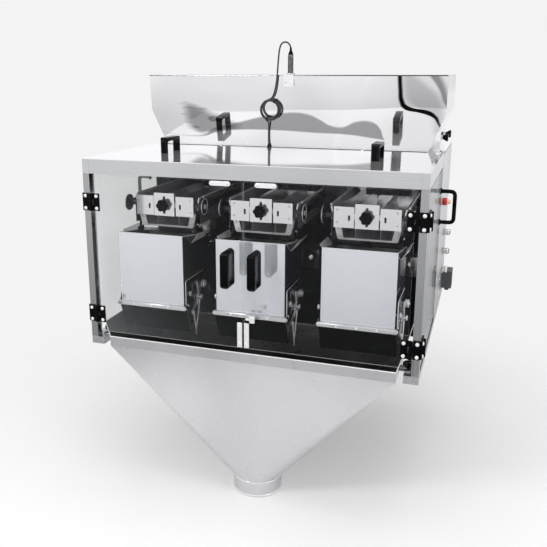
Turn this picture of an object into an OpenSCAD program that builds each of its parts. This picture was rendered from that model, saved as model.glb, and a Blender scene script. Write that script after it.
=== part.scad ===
// Three-head linear weigher: the dosing head that stands over a vertical form fill sealer.
// X runs to the right, Y runs from the front doors to the rear cover, Z runs up.
// The origin is the centre of the four holes in the underside of the base rails.

/* [Frame] */
// Width over the frame posts
frame_w = 960; // [940:5:1000]
// Depth from the front doors to the rear cover
frame_d = 864; // [850:2:900]
// Height from the underside of the base rails to the top of the top rails
frame_h = 551; // [545:1:560]
// Width of a front post and of a top side rail
post_w = 20; // [18:1:20]
// Depth of a front post
post_d = 25; // [22:1:26]
// Height of the top rails
rail_h = 40; // [36:1:42]
// Width of a base rail
base_w = 40; // [36:1:42]
// Height of a base rail
base_h = 22; // [20:1:24]
// Wall of the square tubes
tube_wall = 2; // [1.5:0.5:2.5]
// Thickness of the body sheets
sheet = 2; // [1.5:0.5:2.5]
// Distance from the front doors to the partition of the rear body
body_y = 461; // [455:1:465]

/* [Base mount] */
// Radius of the four fixing holes, for M10 bolts
bolt_r = 5.5; // [5:0.25:6]
// Spacing of the fixing holes across the frame
bolt_dx = 920; // [900:5:920]
// Spacing of the fixing holes from front to rear
bolt_dy = 680; // [640:10:700]

/* [Doors] */
// Thickness of the clear door panels
door_t = 5; // [4:0.5:6]
// Lower edge of the doors above the base
door_z0 = 42; // [40:1:50]
// Upper edge of the doors above the base
door_z1 = 508; // [495:1:509]
// Side length of a square door hinge
hinge = 50; // [48:1:50]
// Radius of a hinge barrel
barrel_r = 5.5; // [5:0.25:6]
// Length of a door handle
handle_l = 106; // [100:1:115]
// Height of a door handle over its panel
handle_h = 46; // [42:1:50]
// Width of the grip
grip_w = 23; // [20:1:25]

/* [Feed hopper] */
// Height of the feed hopper above the top rails
feed_h = 228; // [200:2:230]
// Height of its upright upper band
feed_band = 113; // [100:1:115]
// Half width of its foot
feed_foot = 432; // [420:1:436]
// Lean of its front wall towards the front
feed_lean = 24; // [20:1:26]
// Width of an outlet spout
spout_w = 150; // [130:2:150]
// Depth of an outlet spout
spout_d = 120; // [100:2:130]
// Distance from the front doors to the centre of the spouts
spout_y = 640; // [620:5:660]

/* [Weighing heads] */
// Distance between two heads
head_pitch = 305; // [300:1:310]
// Half width of a weigh hopper
weigh_w = 101; // [96:1:101]
// Distance from the front doors to the weigh hoppers
weigh_y = 58; // [58:1:60]
// Depth of a weigh hopper
weigh_d = 192; // [180:2:195]
// Top of the front wall of a weigh hopper
weigh_top = 333; // [330:1:333]
// Bottom of the front wall of a weigh hopper
weigh_low = 112; // [110:1:116]
// Bottom tip of a weigh hopper
weigh_tip = 36; // [34:1:40]
// Sheet of the weigh hoppers and pans
thin = 1.5; // [1.2:0.1:1.6]
// Height of the pivot of a weigh hopper door
pivot_z = 158; // [155:1:160]
// Distance from the front doors to that pivot
pivot_y = 82; // [80:1:84]

/* [Feeder pans] */
// Underside of the pans
pan_z = 332; // [332:1:334]
// Depth of the trough
pan_h = 94; // [90:1:94]
// Half width of the trough at its floor
pan_low = 82; // [78:1:83]
// Half width of the trough at its top
pan_top = 105; // [98:1:105]
// Distance from the front doors to the lip of the pan
pan_y0 = 178; // [178:1:182]
// Distance from the front doors to the rear end of the pan
pan_y1 = 820; // [800:5:830]

/* [Discharge chute] */
// Half width of the rim
rim_w = 422; // [410:1:424]
// Depth of the rim
rim_d = 284; // [270:2:290]
// Top of the rim above the base
rim_z = 25; // [23:1:26]
// Height of the rim band
rim_band = 29; // [25:1:32]
// Outer radius of the round spigot
spigot_r = 75; // [70:1:80]
// Length of the spigot
spigot_l = 45; // [40:1:50]
// Lower end of the spigot below the base
spigot_z = -457; // [-480:1:-440]
// Distance from the front doors to the axis of the spigot
spigot_y = 130; // [125:1:140]

/* [Sensor lead] */
// Diameter of the lead of the level sensor
lead_d = 5; // [4:0.5:6]
// Number of sides of the lead
lead_sides = 8; // [8:1:8]

/* [Hidden] */
$fn = 48;

steel = "lightsteelblue";
polished = "gainsboro";
dark_steel = "slategray";
black = "#202024";
half_w = frame_w / 2;
front = -frame_d / 2;
rear = frame_d / 2;
body_front = front + body_y;
body_h = frame_h - sheet;
cut = 1;
gap = 0.5;
sides = [-1, 1];
heads = [1, 2, 3];
// Distance from the front doors to the rim of the chute
rim_y = 4;

// X of the centre of a head
function head_x(n) = (n - 2) * head_pitch;

// A box between two corners
module block(a, b) {
    translate(a) cube(b - a);
}

// A box that is mirrored to the left for side -1
module side_block(side, a, b) {
    if (side > 0) block(a, b);
    else block([-b[0], a[1], a[2]], [-a[0], b[1], b[2]]);
}

// An outline in the YZ plane, given as [y, z] points, extruded from x0 to x1
module yz_plate(points, x0, x1) {
    translate([x0, 0, 0]) rotate([90, 0, 90]) linear_extrude(x1 - x0) polygon(points);
}

// An outline in the XZ plane, given as [x, z] points, extruded from y0 to y1
module xz_plate(points, y0, y1) {
    translate([0, y1, 0]) rotate([90, 0, 0]) linear_extrude(y1 - y0) polygon(points);
}

// A cylinder along X, Y or Z that starts at a point
module rod(p, along, length, r) {
    turn = along == "x" ? [0, 90, 0] : along == "y" ? [-90, 0, 0] : [0, 0, 0];
    translate(p) rotate(turn) cylinder(h = length, r = r);
}

// A rectangle with round corners, centred
module round_rect(w, h, r) {
    square([w - 2 * r, h], center = true);
    square([w, h - 2 * r], center = true);
    for (x = sides, y = sides) translate([x * (w / 2 - r), y * (h / 2 - r)]) circle(r = r);
}

// A D handle that stands on the XY plane, with its grip along Y
module d_handle(length, height, width, bar) {
    corner = 14;
    rotate([90, 0, 90]) translate([0, 0, -width / 2]) linear_extrude(width)
        intersection() {
            difference() {
                round_rect(length, 2 * height, corner);
                round_rect(length - 2 * bar, 2 * (height - bar), corner - bar / 2);
            }
            translate([-length, 0]) square([2 * length, height]);
        }
}

// A star knob of six lobes on a hub, with its axis along Z and its hub at the origin
module star_knob(r, height, hub) {
    lobe = r * 0.3;
    translate([0, 0, hub]) linear_extrude(height) {
        circle(r = r - lobe);
        for (k = [0 : 5]) rotate(60 * k) translate([r - lobe, 0]) circle(r = lobe);
    }
    cylinder(h = hub + cut, r = r * 0.42);
}

/* ---------- frame ---------- */

// A square tube along Z
module post_tube(x0, x1, y0, y1, z0, z1) {
    difference() {
        block([x0, y0, z0], [x1, y1, z1]);
        block([x0 + tube_wall, y0 + tube_wall, z0 - cut], [x1 - tube_wall, y1 - tube_wall, z1 + cut]);
    }
}

module front_posts() {
    color(steel) for (s = sides) {
        x0 = s > 0 ? half_w - post_w : -half_w;
        post_tube(x0, x0 + post_w, front, front + post_d, base_h, frame_h - rail_h);
    }
}

module top_rails() {
    z0 = frame_h - rail_h;
    color(steel) difference() {
        union() {
            block([-half_w, front, z0], [half_w, front + post_d, frame_h]);
            for (s = sides)
                side_block(s, [half_w - post_w, front, z0], [half_w, body_front, frame_h]);
        }
        block([-half_w + tube_wall, front + tube_wall, z0 + tube_wall],
              [half_w - tube_wall, front + post_d - tube_wall, frame_h - tube_wall]);
        for (s = sides)
            side_block(s, [half_w - post_w + tube_wall, front + post_d, z0 + tube_wall],
                       [half_w - tube_wall, body_front - tube_wall, frame_h - tube_wall]);
    }
}

module base_rails() {
    color(steel) difference() {
        union() {
            for (s = sides) side_block(s, [half_w - base_w, front, 0], [half_w, rear, base_h]);
            block([-half_w + base_w, rear - base_w, 0], [half_w - base_w, rear, base_h]);
        }
        for (s = sides)
            side_block(s, [half_w - base_w + tube_wall, front + tube_wall, tube_wall],
                       [half_w - tube_wall, rear - tube_wall, base_h - tube_wall]);
        for (x = sides, y = sides)
            translate([x * bolt_dx / 2, y * bolt_dy / 2, -cut]) cylinder(h = base_h + 2 * cut, r = bolt_r);
    }
}

// Side panel of the rear body in an upper and a lower sheet, with holes for what it carries
seam_z = 129;
button_at = [body_front + 100, 388];
gland_y = body_front + 270;
gland_z = [253, 186, 119];
gland_r = 9;
button_hole_r = 11;

module side_panel(side) {
    x0 = side > 0 ? half_w - sheet : -half_w;
    color(steel) difference() {
        union() {
            block([x0, body_front + sheet + gap, base_h], [x0 + sheet, rear - sheet - gap, seam_z]);
            block([x0, body_front + sheet + gap, seam_z + cut], [x0 + sheet, rear - sheet - gap, body_h]);
        }
        if (side > 0) {
            rod([x0 - cut, button_at[0], button_at[1]], "x", sheet + 2 * cut, button_hole_r);
            for (z = gland_z) rod([x0 - cut, gland_y, z], "x", sheet + 2 * cut, gland_r);
        }
    }
}

// Rear cover with two columns of cooling slots
module rear_cover() {
    slot_w = 120;
    slot_h = 5;
    slot_step = 16;
    slots = 8;
    color(steel) difference() {
        block([-half_w, rear - sheet, base_h], [half_w, rear, body_h]);
        for (s = sides, k = [0 : slots - 1])
            translate([s * 260 - slot_w / 2, rear - sheet - cut, 90 + k * slot_step])
                cube([slot_w, sheet + 2 * cut, slot_h]);
    }
}

// Partition behind the weigh hoppers, open where the pans pass, the floor of the rear body, and the
// apron that leads stray product from the partition to the chute
pan_pass = 118;
apron_z0 = 23;
apron_z1 = 70;
apron_y = front + rim_y + rim_d + 1.5;
module inner_panels() {
    color(dark_steel) {
        difference() {
            block([-half_w, body_front, base_h], [half_w, body_front + sheet, body_h]);
            for (n = heads)
                block([head_x(n) - pan_pass, body_front - cut, pan_z - 24],
                      [head_x(n) + pan_pass, body_front + sheet + cut, pan_z + pan_h + 12]);
        }
        yz_plate([[apron_y, apron_z0], [body_front + 1, apron_z1], [body_front + 1, apron_z1 + sheet],
                  [apron_y, apron_z0 + sheet]], -half_w + base_w, half_w - base_w);
        block([-half_w + base_w + gap, body_front + sheet + gap, base_h - sheet],
              [half_w - base_w - gap, rear - base_w - gap, base_h]);
    }
}

// Deck over the rear body, open for the spouts of the feed hopper
deck_front = body_front - 16;
module deck_plate() {
    slack = 1;
    color(polished) difference() {
        block([-half_w, deck_front, body_h + sheet], [half_w, rear, frame_h + sheet]);
        for (n = heads)
            translate([head_x(n), front + spout_y, frame_h])
                cube([spout_w + 2 * slack, spout_d + 2 * slack, 4 * sheet], center = true);
    }
}

// Lift-off cover over the weighing space
module top_cover() {
    color(polished)
        block([-half_w, front, frame_h], [half_w, deck_front - cut, frame_h + sheet]);
}

cover_handle = [315, 235];
module cover_handles() {
    color(black) for (s = sides)
        translate([s * cover_handle[0], front + cover_handle[1], frame_h + sheet])
            d_handle(handle_l, handle_h, grip_w, 11);
}

/* ---------- feed hopper ---------- */

feed_z0 = frame_h + sheet;
feed_z1 = frame_h + feed_h;
feed_step = feed_z1 - feed_band;
// Y of the outside of the leaning front wall at a height
function feed_front(z) = body_front - feed_lean * (z - feed_z0) / (feed_z1 - feed_z0);

// A thin slice of the hopper about a height, inset by the wall
slice = 0.01;
module feed_slice(z, half, inset) {
    y0 = feed_front(z) + inset;
    translate([-half + inset, y0, z - slice]) cube([2 * (half - inset), rear - inset - y0, 2 * slice]);
}

// The volume inside or outside the hopper walls
module feed_volume(inset, low, high) {
    hull() {
        feed_slice(feed_z0 + low, feed_foot, inset);
        feed_slice(feed_step, half_w, inset);
    }
    hull() {
        feed_slice(feed_step, half_w, inset);
        feed_slice(feed_z1 + high, half_w, inset);
    }
}

module feed_hopper() {
    ridge = head_pitch / 2 - spout_w / 2;
    ridge_h = 60;
    color(polished) {
        difference() {
            feed_volume(0, slice, 0);
            feed_volume(sheet, sheet, cut);
            for (n = heads)
                translate([head_x(n), front + spout_y, feed_z0])
                    cube([spout_w - 2 * sheet, spout_d - 2 * sheet, 3 * sheet], center = true);
        }
        for (s = sides)
            translate([s * head_pitch / 2, 0, feed_z0 + sheet])
                xz_plate([[-ridge, -0.5], [ridge, -0.5], [0, ridge_h]], front + spout_y - 150, rear - sheet);
    }
}

// Three straight spouts that end inside the pans
spout_low = pan_z + 63;
module hopper_spouts() {
    color(dark_steel) for (n = heads)
        translate([head_x(n), front + spout_y, spout_low]) difference() {
            translate([-spout_w / 2, -spout_d / 2, 0]) cube([spout_w, spout_d, feed_z0 - spout_low]);
            translate([-spout_w / 2 + sheet, -spout_d / 2 + sheet, -cut])
                cube([spout_w - 2 * sheet, spout_d - 2 * sheet, feed_z0 - spout_low + 2 * cut]);
        }
}

// Side brackets that hold the hopper foot, and the angle that carries the level sensor
clamp_x = 456;
clamp_y = [615, 765];
clamp_z = frame_h + 35;
sensor_y = feed_front(feed_z1) + 18;
sensor_r = 9;
bracket_y = [front + 590, front + 790];
module hopper_brackets() {
    plate = 3;
    angle_w = 16;
    angle_y = sensor_y - 18;
    color(steel) {
        for (s = sides) {
            side_block(s, [clamp_x, bracket_y[0], feed_z0], [clamp_x + plate, bracket_y[1], clamp_z + 16]);
            side_block(s, [clamp_x - 16, bracket_y[0], feed_z0],
                       [clamp_x + plate, bracket_y[1], feed_z0 + plate]);
        }
        difference() {
            union() {
                block([-angle_w, angle_y - plate, feed_z1 - 34], [angle_w, angle_y, feed_z1 + plate]);
                block([-angle_w, angle_y - plate, feed_z1], [angle_w, sensor_y + angle_w, feed_z1 + plate]);
            }
            rod([0, sensor_y, feed_z1 - cut], "z", plate + 2 * cut, sensor_r);
        }
    }
}

module hopper_clamp_knobs() {
    plate = 3;
    color(black) for (s = sides, y = clamp_y) {
        x0 = s > 0 ? clamp_x + plate : -clamp_x - plate;
        translate([x0, front + y, clamp_z]) rotate([0, s * 90, 0]) {
            cylinder(h = 9, r = 6);
            translate([0, 0, 8]) cylinder(h = 11, r1 = 9, r2 = 13);
            translate([0, 0, 19]) cylinder(h = 3, r1 = 13, r2 = 10);
        }
    }
}

// Capacitive level sensor with two lock nuts
sensor_top = feed_z1 + 76;
module level_sensor() {
    color("silver") difference() {
        union() {
            rod([0, sensor_y, feed_z1 - 60], "z", sensor_top - feed_z1 + 60, sensor_r);
            translate([0, sensor_y, feed_z1 + 3]) cylinder(h = 4, r = 14, $fn = 6);
            translate([0, sensor_y, feed_z1 - 4]) cylinder(h = 4, r = 14, $fn = 6);
        }
        rod([0, sensor_y, sensor_top - 4], "z", 5, lead_d / 2 + 0.3);
    }
}

/* ---------- sensor lead ---------- */

// Route from the sensor to the tied ring and on to the gland, in hand-picked points
wall = front;
lead_a = [
    [0, wall + 455, 851], [0, wall + 455, 864], [-6, wall + 452, 876], [-16, wall + 444, 880],
    [-25, wall + 436, 874], [-29, wall + 431, 860], [-31, wall + 429, 840], [-33, wall + 429, 815],
    [-35, wall + 430, 790], [-38, wall + 431, 760], [-44, wall + 432, 730], [-54, wall + 434, 707]
];
lead_b = [
    [-73, wall + 435, 643.5], [-69, wall + 437, 638.5], [-67, wall + 440.5, 633],
    [-67, wall + 444.5, 626.5], [-68, wall + 447.5, 618], [-69, wall + 449.5, 607],
    [-70, wall + 451, 594], [-70, wall + 452.5, 579], [-70, wall + 453, 563]
];
lead_end = lead_b[len(lead_b) - 1];
ring_centre = [-60, wall + 434, 673];
ring_r = 30;
ring_tube = 5.2;

function unit(v) = v / norm(v);
// Direction of a route at one of its points
function heading(p, k) = unit(p[min(k + 1, len(p) - 1)] - p[max(k - 1, 0)]);
// Two directions square to a heading
function side_dir(t) = unit(cross(t, [0.37, -1, 0.11]));
// The points of all rings of a swept tube
function tube_points(p, r, n) = [
    for (k = [0 : len(p) - 1])
        let (t = heading(p, k), u = side_dir(t), v = cross(t, u))
        for (j = [0 : n - 1]) p[k] + r * (cos(360 * j / n) * u + sin(360 * j / n) * v)
];
function tube_faces(m, n) = concat(
    [[for (j = [0 : n - 1]) j]],
    [[for (j = [n - 1 : -1 : 0]) (m - 1) * n + j]],
    [for (k = [0 : m - 2], j = [0 : n - 1])
        [k * n + j, (k + 1) * n + j, (k + 1) * n + (j + 1) % n, k * n + (j + 1) % n]]
);
module swept_tube(p, r, n) {
    polyhedron(points = tube_points(p, r, n), faces = tube_faces(len(p), n), convexity = 6);
}

module sensor_lead() {
    color(black) {
        swept_tube(lead_a, lead_d / 2, lead_sides);
        swept_tube(lead_b, lead_d / 2, lead_sides);
    }
}

module sensor_lead_coil() {
    color(black) translate(ring_centre) rotate([90, 0, 0])
        rotate_extrude() translate([ring_r, 0]) circle(r = ring_tube, $fn = 24);
}

/* ---------- weighing heads ---------- */

// Vibratory feeder pan with two dividers, a rear wall and the rib that the springs hold
module feeder_pan(n) {
    z1 = pan_z + pan_h;
    lip = 8;
    divider = 35;
    rib_x = 30;
    rib_t = 4;
    rib_z = pan_z - 30;
    rib_y = [front + 520, front + 814];
    color(polished) translate([head_x(n), 0, 0]) {
        difference() {
            xz_plate([[-pan_top, z1], [-pan_low, pan_z], [pan_low, pan_z], [pan_top, z1]],
                     front + pan_y0, front + pan_y1);
            xz_plate([[-pan_top + 2, z1 + cut], [-pan_low + 2, pan_z + 2], [pan_low - 2, pan_z + 2],
                      [pan_top - 2, z1 + cut]], front + pan_y0 - cut, front + pan_y1 - sheet);
        }
        for (s = sides) {
            side_block(s, [divider - thin / 2, front + pan_y0 + 4, pan_z + 1],
                       [divider + thin / 2, front + spout_y - spout_d / 2 - 20, z1 - 6]);
            side_block(s, [pan_top - 1, front + pan_y0 + 20, z1 - sheet],
                       [pan_top + lip, front + pan_y1, z1]);
        }
        for (s = sides) side_block(s, [rib_x - rib_t, rib_y[0], rib_z], [rib_x, rib_y[1], pan_z + 1]);
        block([-rib_x, rib_y[0], rib_z], [rib_x, rib_y[1], rib_z + rib_t]);
    }
}

// Cast bases with their feet and magnet cores
vib_y = [540, 740];
vib_z = [base_h + 8, base_h + 60];
module vibrator_bases() {
    half = 55;
    core = 22;
    core_y = [610, 670];
    foot_r = 12;
    color("dimgray") for (n = heads) translate([head_x(n), front, 0]) {
        block([-half, vib_y[0] - 25, vib_z[0]], [half, vib_y[1] + 25, vib_z[1]]);
        for (x = sides, y = vib_y) rod([x * 40, y, base_h], "z", vib_z[0] - base_h + cut, foot_r);
        block([-core, core_y[0], vib_z[1] - cut], [core, core_y[1], pan_z - 50]);
    }
}

// Two packs of leaf springs per head, leaning back, that end just below the rib of the pan
spring_lean = 20;
module leaf_springs() {
    leaves = 3;
    spring_w = 56;
    spring_l = 227.5;
    spring_t = 2.5;
    pitch = 2 * spring_t;
    color("peru") for (n = heads, y = vib_y)
        translate([head_x(n), front + y - 24, vib_z[1] + 0.2]) rotate([-spring_lean, 0, 0])
            for (k = [0 : leaves - 1])
                translate([-spring_w / 2, k * pitch, pitch]) cube([spring_w, spring_t, spring_l]);
}

// Gate frame of each head: cross bar in front of the pan lip, end discs and two arms to the partition
bar_y = front + 166;
bar_z = 402;
arm_x = 118;
cheek_x = 97.5;
disc_r = 24;
module gate_frames() {
    plate = 3;
    bar_t = 8;
    color(steel) for (n = heads) translate([head_x(n), 0, 0]) {
        block([-arm_x - 4, bar_y, bar_z - 6], [arm_x + 4, bar_y + bar_t, bar_z + 6]);
        for (s = sides) {
            side_block(s, [arm_x, bar_y, bar_z - 10], [arm_x + plate, body_front, bar_z + 10]);
            side_block(s, [cheek_x, bar_y, pan_z + 12], [cheek_x + plate, bar_y + bar_t, bar_z]);
            side_block(s, [cheek_x, bar_y, pan_z + 12], [cheek_x + plate, bar_y + 24, pan_z + 46]);
            rod([s * (arm_x + (s > 0 ? plate : plate + 4)), bar_y + bar_t / 2, bar_z], "x", 4, disc_r);
        }
    }
}

// Three layer gates of a head on one carrier, with slots for the knob screw and the gate bolts
gate_travel = 22;
knob_y = front + 155.5;
module gate_plates(n) {
    low = 369;
    middle = 33;
    outer = [36, 93];
    layer = [front + 156, front + 160, front + 162];
    block_y = [layer[0] + 1, layer[2] + 1];
    slot_x = 50;
    slot_y = front + 150;
    color(polished) translate([head_x(n), 0, 0]) difference() {
        union() {
            block([-middle, layer[0], low], [middle, layer[0] + sheet, low + 69]);
            for (s = sides)
                side_block(s, [outer[0], layer[1], low], [outer[1], layer[1] + sheet, low + 59]);
            block([-outer[1], layer[2], bar_z - 8], [outer[1], layer[2] + sheet, bar_z + 8]);
            block([-30, block_y[0], bar_z - 30], [30, block_y[1], bar_z + 30]);
        }
        hull() for (s = sides) rod([0, slot_y, bar_z + s * (gate_travel + 1)], "y", 20, 4);
        for (x = sides) hull() for (s = sides)
            rod([x * slot_x, slot_y, bar_z - 5 + s * 5], "y", 20, 3);
    }
}

module gate_knob(n) {
    stud = 10.2;
    color(black) translate([head_x(n), knob_y, bar_z]) rotate([90, 0, 0]) {
        star_knob(19, 14, 6);
        translate([0, 0, -stud]) cylinder(h = stud + 2, r = 3);
    }
}

// Cut-off flap that hangs open under the lip of a pan
flap_pivot = [front + 184, pan_z + 20];
module flap_gate(n) {
    arm = 34;
    flap_w = 96;
    inner = flap_w - 3;
    reach = 19;
    hub = 4.2;
    color(dark_steel) translate([head_x(n), flap_pivot[0], flap_pivot[1]]) {
        block([-flap_w, -reach, -arm], [flap_w, reach, -arm + sheet]);
        for (s = sides) {
            side_block(s, [inner, -reach, -arm], [flap_w, reach, -arm + 9]);
            side_block(s, [inner, -6, -arm], [flap_w, 6, 0]);
            rod([s > 0 ? inner : -inner - hub, 0, 0], "x", hub, 6);
        }
    }
}

// Weigh hopper: front wall, sloping rear wall and V-ended side walls, open at the top
weigh_back = weigh_y + weigh_d;
weigh_tip_y = weigh_y + 34;
back_top = weigh_top - 28;
back_bend = 220;
pin_r = 4;
pin_slack = 0.05;
weigh_side = [
    [front + weigh_y, weigh_top], [front + weigh_y, weigh_low], [front + weigh_tip_y, weigh_tip],
    [front + weigh_tip_y + 12, weigh_tip], [front + weigh_back, back_bend], [front + weigh_back, back_top]
];
module weigh_hopper(n) {
    color(steel) translate([head_x(n), 0, 0]) {
        for (s = sides)
            yz_plate(weigh_side, s > 0 ? weigh_w - thin : -weigh_w, s > 0 ? weigh_w : -weigh_w + thin);
        block([-weigh_w, front + weigh_y, weigh_low], [weigh_w, front + weigh_y + thin, weigh_top]);
        yz_plate([[front + weigh_tip_y + 12, weigh_tip], [front + weigh_back, back_bend],
                  [front + weigh_back, back_top], [front + weigh_back - thin, back_top],
                  [front + weigh_back - thin, back_bend + 0.5], [front + weigh_tip_y + 10, weigh_tip]],
                 -weigh_w, weigh_w);
        // hanger that hooks over the load cell
        block([-40, front + weigh_back - 0.5, 240], [40, front + weigh_back + 4, 300]);
        block([-20, front + weigh_back + 3, 252], [20, front + weigh_back + 40, 256]);
        // pivot pins of the door and the toggle lever
        rod([-weigh_w - 9, front + pivot_y, pivot_z], "x", 9.5, pin_r);
        rod([weigh_w - 0.5, front + pivot_y, pivot_z], "x", 9.5, pin_r);
        rod([weigh_w - 0.5, front + toggle_y, toggle_z], "x", 20, pin_r);
    }
}

// Discharge door: sloping panel, flanged strip and two cheeks that hang on the pivots
module weigh_door(n) {
    tip = [front + weigh_tip_y, weigh_tip];
    low = [front + weigh_y, weigh_low];
    color(steel) translate([head_x(n), 0, 0]) {
        yz_plate([[low[0] - 1, low[1] + 14], [low[0] - 1, low[1]], [tip[0] - 1, tip[1] - 1],
                  [tip[0] - 3, tip[1] - 1], [low[0] - 3, low[1]], [low[0] - 3, low[1] + 14]],
                 -weigh_w - 5, weigh_w + 5);
        block([-weigh_w - 7, low[0] - 6, low[1]], [weigh_w + 7, low[0] - 2, low[1] + 14]);
        for (s = sides) difference() {
            yz_plate([[low[0] - 3, low[1] + 14], [low[0] - 3, low[1]], [tip[0] - 3, tip[1] - 1],
                      [tip[0] + 6, tip[1] + 8], [front + pivot_y + 11, pivot_z],
                      [front + pivot_y + 4, pivot_z + 12], [front + pivot_y - 5, pivot_z + 12]],
                     s > 0 ? weigh_w + 2 : -weigh_w - 5, s > 0 ? weigh_w + 5 : -weigh_w - 2);
            rod([-weigh_w - 20, front + pivot_y, pivot_z], "x", 2 * weigh_w + 40, pin_r + pin_slack);
        }
    }
}

// Toggle lever with a roller, on the right of each weigh hopper
toggle_y = 140;
toggle_z = 132;
module toggle_lever(n) {
    x0 = weigh_w + 8;
    roller = [28, 33];
    color(steel) translate([head_x(n), front + toggle_y, toggle_z]) difference() {
        union() {
            yz_plate([[-9, -8], [-50, -34], [-46, -44], [8, -10], [34, 30], [24, 38], [-6, 9]], x0, x0 + 4);
            rod([x0, roller[0], roller[1]], "x", 16, pin_r);
            rod([x0 + 5, roller[0], roller[1]], "x", 9, 11);
            rod([x0, 0, 0], "x", 8, 9);
        }
        rod([x0 - cut, 0, 0], "x", 20, pin_r + pin_slack);
    }
}

// Load cell of each head, and the block that fixes it to the partition
cell_z = 273;
module load_cells() {
    half = 20;
    half_h = 16;
    foot = 35;
    foot_t = 21;
    color("silver") for (n = heads) translate([head_x(n), front, 0]) {
        difference() {
            block([-half, weigh_back + 6, cell_z - half_h], [half, body_y - foot_t + cut, cell_z + half_h]);
            for (y = [weigh_back + 75, weigh_back + 105]) rod([-30, y, cell_z], "x", 60, 10);
        }
        block([-foot, body_y - foot_t, cell_z - 28], [foot, body_y, cell_z + 28]);
    }
}

// Stepper motor housings that push the toggles
module door_actuators() {
    motor_x = 96;
    motor_z = 220;
    half = 32;
    flange = 26;
    shaft_r = 8;
    color("silver") for (n = heads) translate([head_x(n) + motor_x, front + body_y, motor_z]) {
        block([-half, -110, -30], [half, -40, 30]);
        block([-flange, -41, -24], [flange, 0, 24]);
        rod([0, -128, 2], "y", 20, shaft_r);
    }
}

/* ---------- hinges and doors ---------- */

// One leaf of a door hinge. The axis is Z, the plate lies from x = 0 to hinge / 2 behind y = 0.
// The fixed leaf holds the middle of the barrel and the moving leaf holds its ends.
leaf_t = 5;
hinge_out = 6;
hinge_hole_r = 2.6;
module hinge_leaf(fixed) {
    third = hinge / 3;
    spans = fixed ? [[third + 0.3, 2 * third - 0.3]] : [[0, third], [2 * third, hinge]];
    difference() {
        union() {
            block([barrel_r + 0.7, hinge_out - leaf_t, 0], [hinge / 2, hinge_out, hinge]);
            for (z = spans) {
                block([0, hinge_out - leaf_t, z[0]], [barrel_r + 1, hinge_out - 1, z[1]]);
                translate([0, 0, z[0]]) cylinder(h = z[1] - z[0], r = barrel_r);
            }
        }
        for (z = [hinge * 0.15, hinge * 0.85])
            rod([hinge * 0.35, 0, z], "y", 2 * hinge_out, hinge_hole_r);
    }
}

hinge_x = half_w - hinge / 2;
hinge_zs = [405, 71];
module place_front_hinge(side, z) {
    translate([side * hinge_x, front - hinge_out, z]) children();
}
module place_side_hinge(side, z) {
    translate([side * (half_w + hinge_out), front + hinge / 2, z]) children();
}

module hinge_fixed_leaves() {
    color(black) for (s = sides, z = hinge_zs) {
        place_front_hinge(s, z) mirror([s > 0 ? 0 : 1, 0, 0]) hinge_leaf(true);
        place_side_hinge(s, z) mirror([s > 0 ? 0 : 1, 0, 0]) rotate(90) mirror([1, 0, 0])
            hinge_leaf(true);
    }
}

door_edge = barrel_r + 1;
module front_door(side) {
    color("aliceblue", 0.35)
        side_block(side, [2, front, door_z0], [hinge_x - door_edge, front + door_t, door_z1]);
}

front_handle = [38, 273];
keeper_x = [34, 94];
keeper_z = [495, 508];
strip_x = [3, 17];
strip_z = [45, 117];
module front_fittings(side) {
    plate = 3;
    color(black) {
        for (z = hinge_zs)
            place_front_hinge(side, z) mirror([side > 0 ? 1 : 0, 0, 0]) hinge_leaf(false);
        translate([side * front_handle[0], front, front_handle[1]]) rotate([90, 0, 0])
            d_handle(handle_l, handle_h, grip_w, 11);
    }
    color("silver") {
        side_block(side, [keeper_x[0], front - plate, keeper_z[0]], [keeper_x[1], front, keeper_z[1]]);
        side_block(side, [strip_x[0], front - plate, strip_z[0]], [strip_x[1], front, strip_z[1]]);
    }
}

module side_door(side) {
    y0 = front + hinge / 2 + door_edge;
    color("aliceblue", 0.35)
        side_block(side, [half_w - door_t, y0, door_z0], [half_w, body_front - 2, door_z1]);
}

side_handle = [418, 397];
module side_fittings(side) {
    color(black) {
        for (z = hinge_zs)
            place_side_hinge(side, z) mirror([side > 0 ? 0 : 1, 0, 0]) rotate(90)
                hinge_leaf(false);
        translate([side * half_w, front + side_handle[0], side_handle[1]])
            rotate([90, 0, side * 90]) d_handle(handle_l, handle_h + 2, 13, 12);
    }
}

/* ---------- chute ---------- */

funnel_z = spigot_z + spigot_l;
module funnel(inset) {
    hull() {
        block([-rim_w + inset, front + rim_y + inset, rim_z - rim_band - 0.01],
              [rim_w - inset, front + rim_y + rim_d - inset, rim_z - rim_band + 0.01]);
        translate([0, front + spigot_y, funnel_z]) cylinder(h = 0.02, r = spigot_r - inset, $fn = 48);
    }
}

ear_x = half_w - 33;
ear_y = 45;
// Reach and height of the side lips that slant up from the rim to the posts
lip_out = 15;
lip_h = 45;
module discharge_chute() {
    color(dark_steel) {
        difference() {
            union() {
                funnel(0);
                block([-rim_w, front + rim_y, rim_z - rim_band], [rim_w, front + rim_y + rim_d, rim_z]);
            }
            funnel(sheet);
            block([-rim_w + sheet, front + rim_y + sheet, rim_z - rim_band - 0.1],
                  [rim_w - sheet, front + rim_y + rim_d - sheet, rim_z + cut]);
            translate([0, front + spigot_y, funnel_z - 0.1])
                cylinder(h = 0.4, r = spigot_r - sheet, $fn = 48);
        }
        for (s = sides) {
            xz_plate([[s * (rim_w - sheet), rim_z - 1], [s * rim_w, rim_z - 1],
                      [s * (rim_w + lip_out), rim_z + lip_h], [s * (rim_w + lip_out - sheet), rim_z + lip_h]],
                     front + door_t + 1, front + rim_y + rim_d);
            difference() {
                side_block(s, [rim_w - 1, front + ear_y - 20, base_h + 0.3],
                           [half_w - 24, front + ear_y + 20, rim_z]);
                rod([s * ear_x, front + ear_y, base_h - cut], "z", 10, 3.5);
            }
        }
    }
}

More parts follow.
